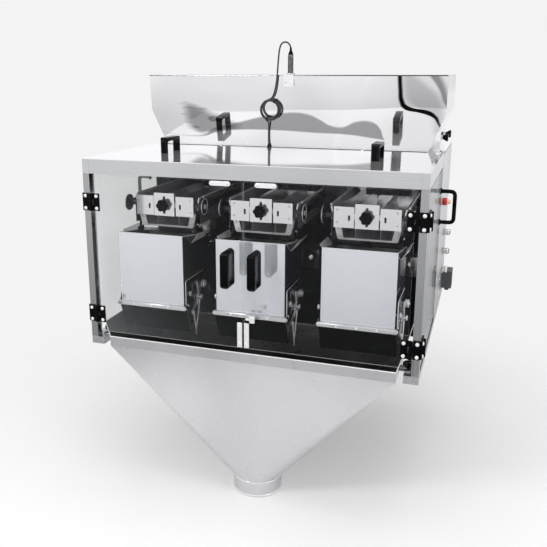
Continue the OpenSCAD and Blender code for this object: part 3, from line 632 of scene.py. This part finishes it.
def make_lead():
    route = lead_route()
    data = bpy.data.curves.new("sensor_cable", "CURVE")
    data.dimensions = "3D"
    data.bevel_depth = LEAD_D / 2
    data.bevel_resolution = 4
    spline = data.splines.new("POLY")
    spline.points.add(len(route) - 1)
    for point, place in zip(spline.points, route):
        point.co = (*place, 1)
    spline.use_smooth = True
    data.materials.append(M["rubber"])
    cable = bpy.data.objects.new("sensor_cable", data)
    SCENE.collection.objects.link(cable)
    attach(cable, ROOT)
    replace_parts(cable, "sensor_lead", "sensor_lead_coil")
    tie = bmesh.new()
    for degrees in (62, 250):
        angle = math.radians(degrees)
        spot = from_front(RING_CENTRE) + Vector((RING_R * math.cos(angle), 0, RING_R * math.sin(angle)))
        along = Vector((-math.sin(angle), 0, math.cos(angle)))
        add_lathe(tie, mm([(6.1, -1.6), (6.8, -1.2), (6.8, 1.2), (6.1, 1.6)]), pointing(spot, along), 16)
    tie_piece = finish("lead_ties", tie, "black", ROOT)


# ------------ handles, hinges and knobs

HANDLE_LENGTH, HANDLE_HEIGHT, HANDLE_WIDTH, HANDLE_BAR = 0.106, 0.046, 0.023, 0.011
HANDLE_OUTER_R, HANDLE_INNER_R = 0.016, 0.009
BACKING_DEPTH = 0.007


def arch(half_length, top, radius):
    """A bridge outline with rounded upper corners."""
    points = [(-half_length, 0)]
    for sign, start in ((-1, math.pi), (1, math.pi / 2)):
        for k in range(7):
            angle = start - k * math.pi / 12
            points.append((sign * (half_length - radius) + radius * math.cos(angle),
                           top - radius + radius * math.sin(angle)))
    return points + [(half_length, 0)]


def bridge_handle(name, place, body):
    """A D handle with round ends and a crowned grip: its legs rise along Z and its grip lies along X."""
    half = HANDLE_LENGTH / 2
    inside = arch(half - HANDLE_BAR, HANDLE_HEIGHT - HANDLE_BAR, HANDLE_INNER_R)
    shape, ends = bmesh.new(), bmesh.new()
    add_prism(shape, arch(half, HANDLE_HEIGHT, HANDLE_OUTER_R) + inside[::-1],
              place @ ON_FRONT @ Matrix.Translation((0, 0, -HANDLE_WIDTH / 2)), HANDLE_WIDTH)
    add_prism(ends, stadium(HANDLE_LENGTH - 0.0006, HANDLE_WIDTH + 0.0008, 12),
              place @ Matrix.Translation((0, 0, -0.01)), HANDLE_HEIGHT + 0.02)
    raw, cutter = link_mesh(name + "_raw", shape), link_mesh(name + "_ends", ends)
    modifier = raw.modifiers.new("ends", "BOOLEAN")
    modifier.operation = "INTERSECT"
    modifier.object = cutter
    modifier.solver = "EXACT"
    evaluated = raw.evaluated_get(bpy.context.evaluated_depsgraph_get())
    result = bmesh.new()
    result.from_mesh(evaluated.to_mesh())
    bmesh.ops.remove_doubles(result, verts=result.verts, dist=0.00005)
    bmesh.ops.dissolve_limit(result, angle_limit=math.radians(1), verts=result.verts, edges=result.edges)
    bpy.data.objects.remove(raw)
    bpy.data.objects.remove(cutter)
    return finish(name, result, "black", body, 0.0014, 3, 30)


def handle_backing(name, place, body, bolts):
    """The plate behind a clear door that a handle is bolted through, with its two bolts."""
    plate = bmesh.new()
    add_prism(plate, stadium(HANDLE_LENGTH, HANDLE_WIDTH, 12),
              place @ Matrix.Translation((0, 0, -BACKING_DEPTH)), 0.0018)
    finish(name, plate, "gunmetal", body, 0.0004)
    down = (place.to_3x3() @ Vector((0, 0, -1))).normalized()
    for sign in (-1, 1):
        at = place @ Vector((sign * (HANDLE_LENGTH / 2 - 0.0105), 0, 0))
        screw(bolts, at + down * BACKING_DEPTH, down, 0.005, 0.003)


HINGE_SIZE, HINGE_BARREL = 0.05, 0.0055
HINGE_HEIGHTS = (0.405, 0.071)


def hinge_leaf(mesh, axis, along, out, fixed):
    """One leaf from the foot of a hinge's axis: the plate reaches along, its face looks out."""
    size, barrel, third = HINGE_SIZE, HINGE_BARREL, HINGE_SIZE / 3
    axis, along, out, up = Vector(axis), Vector(along), Vector(out), Vector(UP)
    face = axis - out * 0.001
    add_box(mesh, axis + along * (barrel + 0.0007) - out * 0.006, face + along * size / 2 + up * size)
    spans = [(third + 0.0003, 2 * third - 0.0003)] if fixed else [(0, third), (2 * third, size)]
    for low, high in spans:
        add_box(mesh, axis - out * 0.005 + up * low, face + along * (barrel + 0.001) + up * high)
        profile = [(barrel * 0.9, low), (barrel, low + 0.0006), (barrel, high - 0.0006), (barrel * 0.9, high)]
        add_lathe(mesh, profile, Matrix.Translation(axis), 20)


def hinge_bolts(mesh, axis, along, out):
    for height in (0.0075, 0.0425):
        at = Vector(axis) + Vector(along) * 0.0172 - Vector(out) * 0.001 + Vector((0, 0, height))
        screw(mesh, at, out, 0.0052, 0.0034)


def front_axis(side, height):
    return (side * (HALF_W - 0.025), FRONT - 0.006, height)


def side_axis(side, height):
    return (side * (HALF_W + 0.006), FRONT + 0.025, height)


def make_hinges():
    fixed, bolts = bmesh.new(), bmesh.new()
    for side in SIDES.values():
        for height in HINGE_HEIGHTS:
            for axis, along, out in ((front_axis(side, height), (side, 0, 0), AHEAD),
                                     (side_axis(side, height), AHEAD, (side, 0, 0))):
                hinge_leaf(fixed, axis, along, out, True)
                hinge_bolts(bolts, axis, along, out)
    piece = finish("fixed_hinge_leaves", fixed, "black", ROOT, 0.0009)
    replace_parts(piece, "hinge_fixed_leaves")
    finish("fixed_hinge_bolts", bolts, "bright", ROOT)


def door_leaves(word, kind, body, axis, along, out):
    """The moving hinge leaves of a door, and the mesh that holds their bolts."""
    black, bright = bmesh.new(), bmesh.new()
    for height in HINGE_HEIGHTS:
        hinge_leaf(black, axis(SIDES[word], height), along, out, False)
        hinge_bolts(bright, axis(SIDES[word], height), along, out)
    leaves = finish(f"{kind}_{word}_hinge_leaves", black, "black", body, 0.0009)
    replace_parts(leaves, f"{kind}_door_{word}_fittings")
    return bright


def make_front_fittings(word, side):
    body = f"front_door_{word[0]}"
    bright = door_leaves(word, "front", body, front_axis, (-side, 0, 0), AHEAD)
    keeper_x, keeper_z, strip_x, strip_z = side * 0.064, 0.5015, side * 0.01, 0.081
    sheet = 0.003
    plates = bmesh.new()
    add_prism(plates, stadium(0.06, 0.013), Matrix.Translation((keeper_x, FRONT, keeper_z)) @ ON_FRONT, sheet)
    add_prism(plates, mm([(-36, -7), (36, -7), (36, 7), (-36, 7)]),
              Matrix.Translation((strip_x, FRONT, strip_z)) @ ON_FRONT @ QUARTER, sheet)
    finish(f"front_{word}_keepers", plates, "bright", body, 0.0006)
    for offset in (-0.022, 0.022):
        screw(bright, (keeper_x + offset, FRONT - sheet, keeper_z), AHEAD, 0.0034)
    for offset in (-0.025, 0.025):
        screw(bright, (strip_x, FRONT - sheet, strip_z + offset), AHEAD, 0.0036)
    place = Matrix.Translation((side * 0.038, FRONT, 0.273)) @ ON_FRONT @ QUARTER
    bridge_handle(f"front_{word}_handle", place, body)
    handle_backing(f"front_{word}_backing", place, body, bright)
    finish(f"front_{word}_bolts", bright, "bright", body)


def make_side_fittings(word, side):
    body = f"side_door_{word[0]}"
    bright = door_leaves(word, "side", body, side_axis, BACK, (side, 0, 0))
    finish(f"side_{word}_bolts", bright, "bright", body)
    grip = bmesh.new()
    foot, top = side * HALF_W, side * (HALF_W + 0.042)
    y, z, half = FRONT + 0.418, 0.397, 0.047
    corners = [(foot, y, z - half), (top, y, z - half), (top, y, z + half), (foot, y, z + half)]
    add_tube(grip, rounded_path(corners, 0.014), 0.006, 16)
    for sign in (-1, 1):
        add_lathe(grip, mm([(9.2, 0), (9.5, 1), (8.8, 3.5), (6.2, 5)]),
                  pointing((foot, y, z + sign * half), (side, 0, 0)), 20)
    finish(f"side_{word}_handle", grip, "black", body)


def make_cover_fittings():
    handle_x, handle_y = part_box("cover_handles")[1].x - 0.0115, middle("cover_handles").y
    for word, side in SIDES.items():
        place = Matrix.Translation((side * handle_x, handle_y, DECK_TOP)) @ QUARTER
        piece = bridge_handle(f"cover_{word}_handle", place, "cover")
        if side < 0:
            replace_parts(piece, "cover_handles")
    bolts = bmesh.new()
    for x in (-0.462, -0.154, 0.154, 0.462):
        screw(bolts, (x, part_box("top_cover")[1].y - 0.012, DECK_TOP), UP, 0.0034, 0.0016)
    finish("cover_screws", bolts, "bright", "cover")


def star_knob(name, node, body, place, radius, height):
    """A star knob of six lobes with a shallow dished face, on a short hub."""
    hub = 0.006
    mesh = bmesh.new()
    add_lathe(mesh, [(radius * 0.42, 0), (radius * 0.42, hub)], place, 20)
    profile = [(0.8, 0), (0.96, 0.14), (1, 0.38), (1, 0.66), (0.93, 0.9), (0.8, 1), (0.45, 0.93), (0.32, 0.9)]
    add_lathe(mesh, [(radius * a, hub + height * b) for a, b in profile], place, 96, 6, 0.24)
    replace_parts(finish(name, mesh, "black", body, 0, 2, 40), node)


CLAMP = mm([(6.2, 3.5), (6.6, 7.5), (8.5, 9.5), (12.2, 16.5), (13, 18.5), (12.4, 20.5), (9.8, 21.8),
            (4, 21.9)])


def make_knobs():
    for n in HEADS:
        spot = middle(f"gate_knob_{n}")
        spot.y = FRONT + 0.1555
        place = pointing(spot, AHEAD)
        star_knob(f"gate_star_knob_{n}", f"gate_knob_{n}", f"gate_clamp_{n}", place, 0.019, 0.014)
        stud = bmesh.new()
        add_lathe(stud, mm([(3, 0), (3, 9.5), (2.2, 10.2)]), pointing(spot, BACK), 16)
        finish(f"gate_stud_{n}", stud, "bright", f"gate_clamp_{n}")
    for word in SIDES:
        node = f"chute_knob_{word}"
        spot = middle(node)
        spot.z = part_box(node)[1].z - 0.018
        star_knob(f"chute_star_knob_{word}", node, f"chute_clamp_{word[0]}", pointing(spot, UP), 0.014, 0.012)
    clamps, nuts = bmesh.new(), bmesh.new()
    for side in SIDES.values():
        for y in (0.615, 0.765):
            place = pointing((side * 0.459, FRONT + y, 0.586), (side, 0, 0))
            add_lathe(clamps, CLAMP, place, 48, 8, 0.03)
            add_lathe(nuts, mm([(7.5, 0), (8, 0.6), (8, 3), (7.2, 3.6)]), place, 6)
    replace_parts(finish("hopper_clamps", clamps, "black", ROOT), "hopper_clamp_knobs")
    finish("hopper_clamp_nuts", nuts, "bright", ROOT)


# ------------ sensor, connectors and button

def make_sensor():
    """The level sensor, by heights from the hopper's rim: threaded barrel, strain relief and lock nuts."""
    axis = (0, middle("level_sensor").y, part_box("feed_hopper")[1].z)
    place = Matrix.Translation(axis)
    barrel, cap, nuts = bmesh.new(), bmesh.new(), bmesh.new()
    profile = mm([(7.2, -60), (8.6, -58.5)])
    for turn in range(49):
        z = 0.0022 * turn - 0.056
        profile += [(0.009, z), (0.009, z + 0.0008), (0.0083, z + 0.0014)]
    profile += mm([(8.6, 51.5), (8.6, 60), (8, 62)])
    add_lathe(barrel, profile, place, 28)
    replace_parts(finish("sensor_barrel", barrel, "gunmetal", ROOT, 0, 2, 50), "level_sensor")
    add_lathe(cap, mm([(8, 61.5), (7.8, 66), (5.2, 70), (3.6, 76), (3.1, 84)]), place, 24)
    finish("sensor_strain_relief", cap, "black", ROOT)
    for z in (0.003, -0.004):
        lock_nut = [(0.0125, z), (0.0138, z + 0.0007), (0.0138, z + 0.0033), (0.0125, z + 0.004)]
        add_lathe(nuts, lock_nut, place, 6)
    for sign in (-1, 1):
        screw(nuts, (sign * 0.009, FRONT + 0.437 - 0.0031, axis[2] - 0.02), AHEAD, 0.0026)
    finish("sensor_nuts", nuts, "nickel", ROOT, 0.0004)


CONNECTOR_Y, CONNECTOR_HEIGHTS = FRONT + 0.731, (0.253, 0.186, 0.119)
LEAD_GLAND = (-0.07, FRONT + 0.453, DECK_TOP)


def make_connectors():
    metal, dark = bmesh.new(), bmesh.new()
    for z in CONNECTOR_HEIGHTS:
        place = pointing((HALF_W, CONNECTOR_Y, z), RIGHT)
        add_lathe(metal, mm([(10.5, 0), (13.8, 0.6), (13.8, 5.4), (12.5, 6)]), place, 6)
        add_lathe(metal, mm([(8, 5.5), (8, 9), (10.4, 9.6), (10.9, 10.8), (10.9, 17.5), (10, 19.5),
                             (8.2, 20.3)]), place, 40, 20, 0.02)
        add_lathe(dark, mm([(7.8, 19.8), (7.8, 21.2), (6.2, 21.8)]), place, 24)
        add_lathe(metal, mm([(8.8, -13.8), (8.8, 1)]), place, 24)
    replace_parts(finish("connector_shells", metal, "nickel", ROOT, 0.0003), "cable_glands")
    add_lathe(dark, mm([(5, 0), (5, 3.5), (4.4, 4.5), (4, 9.2), (3.2, 10)]),
              Matrix.Translation(LEAD_GLAND), 24)
    finish("connector_inserts", dark, "black", ROOT)


def make_button():
    spot = middle("side_button_bezel")
    spot.x = HALF_W
    place = pointing(spot, RIGHT)
    bezel, cap = bmesh.new(), bmesh.new()
    add_lathe(bezel, mm([(7.9, -30), (10.7, -30), (10.7, -0.2), (11.3, 0), (12, 1), (12, 11.2),
                         (11.2, 12.8), (8.6, 13), (7.9, 12.2)]), place, 40, 20, 0.012, True)
    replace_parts(finish("button_bezel", bezel, "red", ROOT), "side_button_bezel")
    add_lathe(cap, mm([(7, -12), (7.4, -11.2), (7.4, 21.5), (6.4, 23.6), (3, 24)]), place, 32)
    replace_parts(finish("button_cap", cap, "cream", "side_button"), "side_button_cap")


# ------------ details on the weighing heads

TOGGLE = (FRONT + 0.14, 0.132)
HOPPER_FACE = FRONT + 0.058
DISC_R = 0.0236
ROLLER = mm([(5, 7.8), (11.2, 8), (11.8, 8.6), (11.8, 10.4), (10.6, 11.2), (10.6, 14.6), (11.8, 15.4),
             (11.8, 17.2), (11.2, 18), (4.6, 18.4), (4.4, 20), (3, 20.6)])


def make_hopper_rim(n, x):
    """Flared lips on the side walls, folded hems round the mouth, and the nuts on the pins."""
    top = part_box(f"weigh_hopper_{n}")[1].z
    for word, side in SIDES.items():
        lip = bmesh.new()
        add_prism(lip, mm([(0.2, 0), (1.2, 0), (21.5, 26.5), (20.3, 27.2), (0.2, 1.2)]),
                  axes((x + side * 0.101, HOPPER_FACE + 0.062, 0.3), (side, 0, 0), UP, BACK), 0.1)
        finish(f"hopper_lip_{n}_{word}", lip, "bright", ROOT, 0.0003)
    hem, y = bmesh.new(), HOPPER_FACE + 0.0008
    add_tube(hem, [(x - 0.1005, y, top), (x + 0.1005, y, top)], 0.0014, 10)
    for side in (-1, 1):
        edge = x + side * 0.1003
        add_tube(hem, [(edge, y, top), (edge, HOPPER_FACE + 0.19, top - 0.028)], 0.0014, 10)
        add_tube(hem, [(edge, HOPPER_FACE + 0.0006, 0.132), (edge, HOPPER_FACE + 0.0006, top)], 0.0011, 8)
    finish(f"hopper_hem_{n}", hem, "bright", ROOT)
    nuts = bmesh.new()
    for side in (-1, 1):
        add_lathe(nuts, mm([(7, 0), (7.6, 0.8), (7.6, 4), (6.6, 4.8), (3, 5)]),
                  pointing((x + side * 0.1095, FRONT + 0.082, 0.158), (side, 0, 0)), 6)
    add_lathe(nuts, mm([(7, 0), (7.8, 0.8), (7.8, 4), (6, 4.8)]), pointing((x + 0.1205, *TOGGLE), RIGHT), 6)
    finish(f"hopper_pin_nuts_{n}", nuts, "bright", ROOT, 0.0003)


def make_door_strip(n, x):
    """Flanged strip along the discharge door, with its bolts."""
    door, half, z = f"bucket_door_{n}", 0.1085, 0.119
    strip, bolts = bmesh.new(), bmesh.new()
    add_prism(strip, mm([(0, 0), (8.5, 0.8), (10.5, 3), (10.5, 12), (8.5, 14.2), (0, 15)]),
              axes((x - half, FRONT + 0.0575, 0.1115), AHEAD, UP, RIGHT), 2 * half)
    finish(f"door_strip_{n}", strip, "plate", door, 0.0008)
    for offset in (-0.055, 0, 0.055):
        screw(bolts, (x + offset, FRONT + 0.047, z), AHEAD, 0.0036, 0.0022)
    for side in (-1, 1):
        screw(bolts, (x + side * half, FRONT + 0.052, z), (side, 0, 0), 0.0042, 0.003)
        screw(bolts, (x + side * 0.108, FRONT + 0.072, 0.124), (side, 0, 0), 0.0036, 0.0024)
    finish(f"door_bolts_{n}", bolts, "bright", door)


def make_toggle(n, x):
    """Pointed arm, rollers, bracket and torsion spring of a toggle lever."""
    toggle, pivot = f"toggle_{n}", Vector((x, *TOGGLE))
    arm, wheels = bmesh.new(), bmesh.new()
    reach = 0.098 if n == HEADS[-1] else 0.112
    tip_y, tip_z = -reach / 4, -reach
    blade, thickness = axes(pivot + Vector((0.1142, 0, 0)), BACK, UP, RIGHT), 0.003
    for y, z, width in ((-0.044, -0.036, 0.007), (0.006, -0.006, 0.008)):
        add_prism(arm, [(y - width / 2, z), (y + width / 2, z + 0.002), (tip_y + 0.003, tip_z + 0.018),
                        (tip_y, tip_z), (tip_y - 0.003, tip_z + 0.016)], blade, thickness)
    add_prism(arm, mm([(-8, 6), (3, 10), (-13, 52), (-20, 50)]), blade, thickness)
    finish(f"toggle_arm_{n}", arm, "bright", toggle, 0.0005)
    bracket, edge = bmesh.new(), bmesh.new()
    top, back = 0.201, 0.192
    add_prism(bracket, [(0.061, 0.128), (0.061, top), (back, top), (back, 0.12), (0.15, 0.105)],
              axes((x + 0.1066, FRONT, 0), BACK, UP, RIGHT), 0.0014)
    # The bracket's steel is painted near black, as painted shade.
    finish(f"toggle_bracket_{n}", bracket, "dusk", ROOT)
    corners = [(x + 0.1073, FRONT + y, z) for y, z in ((0.0605, 0.128), (0.0605, top), (back, top))]
    add_tube(edge, rounded_path(corners, 0.006), 0.0011, 8)
    finish(f"toggle_bracket_edge_{n}", edge, "bright", ROOT)
    add_lathe(wheels, ROLLER, pointing(pivot + Vector((0.1062, 0.028, 0.033)), RIGHT), 32)
    elbow = pointing(pivot + Vector((0.113, -0.044, -0.036)), RIGHT)
    add_lathe(wheels, mm([(5.4, 0), (6, 0.6), (6, 3.4), (5, 4)]), elbow, 6)
    add_lathe(wheels, mm([(4, -4), (4, 4.5), (3, 5)]), elbow, 20)
    finish(f"toggle_rollers_{n}", wheels, "bright", toggle, 0, 2, 40)
    coil, coil_r, pitch, turns, steps = bmesh.new(), 0.0072, 0.0012, 5, 16
    points = []
    for k in range(turns * steps + 1):
        turn = k / steps
        angle = 2 * math.pi * turn
        place = Vector((0.1022 + pitch * turn, coil_r * math.cos(angle), coil_r * math.sin(angle)))
        points.append(pivot + place)
    points.append(points[-1] + Vector((0, 0.002, -0.022)))
    add_tube(coil, points, 0.0006, 6)
    finish(f"toggle_spring_{n}", coil, "spring", ROOT)


def make_pan_details(n, x):
    """Straps folded round the pan's front end, side rails and bolts. The side walls lean out by the slope."""
    low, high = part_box(f"feeder_pan_{n}")
    body, lip, floor_z, slope = f"pan_{n}", low.y, high.z - 0.094, 0.023 / 0.094
    straps, bolts, rails = bmesh.new(), bmesh.new(), bmesh.new()
    for side in (-1, 1):
        def wall(height, out):
            return x + side * (0.082 + slope * height + out)
        section = mm([(0.2, 0), (2.2, 0), (2.2, 16), (0.2, 16)])
        add_skin(straps, [[straps.verts.new((wall(height, out), lip + depth, floor_z + height))
                           for out, depth in section] for height in (0.002, 0.092)])
        for height in (0.022, 0.066):
            at = (wall(height, 0.0022), lip + 0.008, floor_z + height)
            screw(bolts, at, (side, 0, -0.24), 0.0034, 0.002)
        flange = [(side * (width + height * slope), height)
                  for width, height in ((0.084, 0.002), (0.084, 0.044), (0.066, 0.044), (0.066, 0.002))]
        add_prism(straps, flange, axes((x, lip, floor_z), RIGHT, UP, AHEAD), 0.0014)
        for height in (0.012, 0.03):
            at = (x + side * (0.075 + height * slope), lip - 0.0014, floor_z + height)
            screw(bolts, at, AHEAD, 0.0032, 0.002)
        rail_x, rail_z = x + side * 0.109, high.z + 0.0012
        add_tube(rails, [(rail_x, lip + 0.02, rail_z), (rail_x, high.y - 0.004, rail_z)], 0.0022, 10)
    add_box(straps, (x - 0.081, lip - 0.0012, floor_z - 0.0006), (x + 0.081, lip + 0.001, floor_z + 0.0045))
    finish(f"pan_straps_{n}", straps, "bright", body, 0.0004)
    finish(f"pan_rails_{n}", rails, "bright", body)
    finish(f"pan_bolts_{n}", bolts, "bright", body)


def make_gate_details(n, x):
    """Rims and nuts of the gate frame's end discs, and bolts on the frame and the gates."""
    frame_bolts, gate_bolts = bmesh.new(), bmesh.new()
    for side in (-1, 1):
        disc = Vector((x + side * 0.125, FRONT + 0.17, 0.402))
        rim = [disc + DISC_R * Vector((0, math.cos(a), math.sin(a))) for a in circle(32)]
        add_tube(frame_bolts, rim, 0.0013, 8, True)
        add_lathe(frame_bolts, mm([(7, 0), (7.6, 0.6), (7.6, 4.2), (6.4, 5)]),
                  pointing(disc, (side, 0, 0)), 6)
        for z in (0.346, 0.392):
            screw(frame_bolts, (x + side * 0.101, FRONT + 0.172, z), (side, 0, 0), 0.0032, 0.002)
        for z in (0.384, 0.419):
            screw(gate_bolts, (x + side * 0.083, FRONT + 0.16, z), AHEAD, 0.003, 0.0018)
    finish(f"gate_frame_bolts_{n}", frame_bolts, "bright", ROOT)
    finish(f"gate_bolts_{n}", gate_bolts, "bright", f"gate_{n}")


# ------------ details on the frame and body

def make_frame_screws():
    bolts = bmesh.new()
    for side in SIDES.values():
        for y in (0.48, 0.64, 0.852):
            for z in (0.06, 0.108, 0.15, 0.52):
                screw(bolts, (side * HALF_W, FRONT + y, z), (side, 0, 0), 0.0038, 0.0018)
    for x in (-0.47, -0.235, 0.235, 0.47):
        screw(bolts, (x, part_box("deck_plate")[0].y + 0.007, DECK_TOP), UP, 0.0034, 0.0016)
    for x in (-0.46, -0.23, 0.0, 0.23, 0.46):
        for z in (0.045, 0.53):
            screw(bolts, (x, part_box("rear_cover")[1].y - 0.0002, z), BACK, 0.004, 0.0018)
    finish("frame_screws", bolts, "bright", ROOT)


def make_deck_joints():
    """Dark lines where the cover meets the deck and where the hopper stands on it."""
    joints = bmesh.new()
    seam_y = (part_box("top_cover")[1].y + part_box("deck_plate")[0].y) / 2
    foot_y, foot_z = FRONT + 0.4602, DECK_TOP + 0.0006
    add_box(joints, (-HALF_W + 0.001, seam_y - 0.0004, DECK_TOP - 0.0018),
            (HALF_W - 0.001, seam_y + 0.0004, DECK_TOP - 0.0004))
    add_tube(joints, [(-0.431, foot_y, foot_z), (0.431, foot_y, foot_z)], 0.0007, 8)
    finish("deck_joints", joints, "rubber", ROOT)


def make_welds():
    """Weld beads where the rails meet the posts."""
    seams, under_rail = bmesh.new(), RAIL_TOP - 0.04
    for side in SIDES.values():
        inner, face, outer = side * (HALF_W - 0.02), FRONT + 0.0002, side * (HALF_W - 0.0002)
        for z in (under_rail, 0.022):
            add_tube(seams, [(inner, face, z), (side * HALF_W, face, z)], 0.0007, 8)
            add_tube(seams, [(outer, FRONT, z), (outer, FRONT + 0.025, z)], 0.0007, 8)
        add_tube(seams, [(inner, face, under_rail), (inner, face, RAIL_TOP)], 0.0005, 8)
    finish("frame_welds", seams, "satin_z", ROOT)


def make_hopper_hem():
    """Rolled hem along the mouth of the feed hopper."""
    low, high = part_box("feed_hopper")
    inset, z = Vector((0.0012, 0.0012, 0)), high.z - 0.0006
    low, high = low + inset, high - inset
    mouth = [(low.x, low.y, z), (high.x, low.y, z), (high.x, high.y, z), (low.x, high.y, z)]
    hem = bmesh.new()
    add_tube(hem, mouth, 0.0018, 8, True)
    finish("feed_hopper_hem", hem, "gunmetal", ROOT)


def make_latch():
    latch = bmesh.new()
    add_box(latch, (0.02, FRONT, 0.12), (0.034, FRONT - 0.007, 0.139))
    add_box(latch, (0.008, FRONT - 0.002, 0.126), (0.022, FRONT - 0.005, 0.133))
    finish("door_latch", latch, "bright", "front_door_r", 0.0012)


def make_load_cell_cables():
    cables = bmesh.new()
    for x in map(head_x, HEADS):
        plug = (x + 0.046, FRONT + 0.461, 0.214)
        add_tube(cables, rounded_path([(x + 0.014, FRONT + 0.395, 0.257), (x + 0.016, FRONT + 0.395, 0.225),
                                       (x + 0.044, FRONT + 0.445, 0.214), plug], 0.012), 0.0022, 10)
        add_lathe(cables, mm([(7, 0), (7, 4), (4.5, 9)]), pointing(plug, AHEAD), 20)
    finish("load_cell_cables", cables, "rubber", ROOT)


def make_chute_details():
    """Hems along the chute's rim and side lips, and beads round the spigot."""
    low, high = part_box("discharge_chute")
    rim, beads = bmesh.new(), bmesh.new()
    half, lip_x, lip_z = 0.422, 0.436, 0.07
    for y, z in ((low.y + 0.0008, high.z - 0.0452), (high.y - 0.0008, 0.0248)):
        add_tube(rim, [(-half, y, z), (half, y, z)], 0.0016, 10)
    for side in SIDES.values():
        x = side * lip_x
        add_tube(rim, [(x, FRONT + 0.007, lip_z), (x, high.y - 0.001, lip_z)], 0.0014, 10)
        add_tube(rim, [(side * half, FRONT + 0.006, 0.0245), (x, FRONT + 0.0062, lip_z)], 0.0012, 10)
    finish("chute_hems", rim, "bright", ROOT)
    low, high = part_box("chute_spigot")
    y, radius = (low.y + high.y) / 2, 0.075
    for z, thick in ((low.z + 0.0022, 0.002), (high.z, 0.0014)):
        ring = [(radius * math.cos(a), y + radius * math.sin(a), z) for a in circle(72)]
        add_tube(beads, ring, thick, 10, True)
    finish("spigot_beads", beads, "bright", ROOT)


def make_floor():
    mesh = bpy.data.meshes.new("floor")
    reach = 2.0
    corners = [(-reach, -reach, 0), (reach, -reach, 0), (reach, reach, 0), (-reach, reach, 0)]
    mesh.from_pydata(corners, [], [(0, 1, 2, 3)])
    floor = bpy.data.objects.new("floor", mesh)
    floor.location = (0, 0, FLOOR_Z)
    mesh.materials.append(floor_material())
    SCENE.collection.objects.link(floor)


make_camera()
make_lead()
make_world()
make_lights()
make_floor()
dress_cad_nodes()
make_hinges()
for word, side in SIDES.items():
    make_front_fittings(word, side)
    make_side_fittings(word, side)
make_cover_fittings()
make_knobs()
make_sensor()
make_connectors()
make_button()
for n in HEADS:
    for make in (make_hopper_rim, make_door_strip, make_toggle, make_pan_details, make_gate_details):
        make(n, head_x(n))
for make in (make_frame_screws, make_deck_joints, make_welds, make_hopper_hem, make_latch,
             make_load_cell_cables, make_chute_details):
    make()
SCENE.view_settings.view_transform = "Standard"
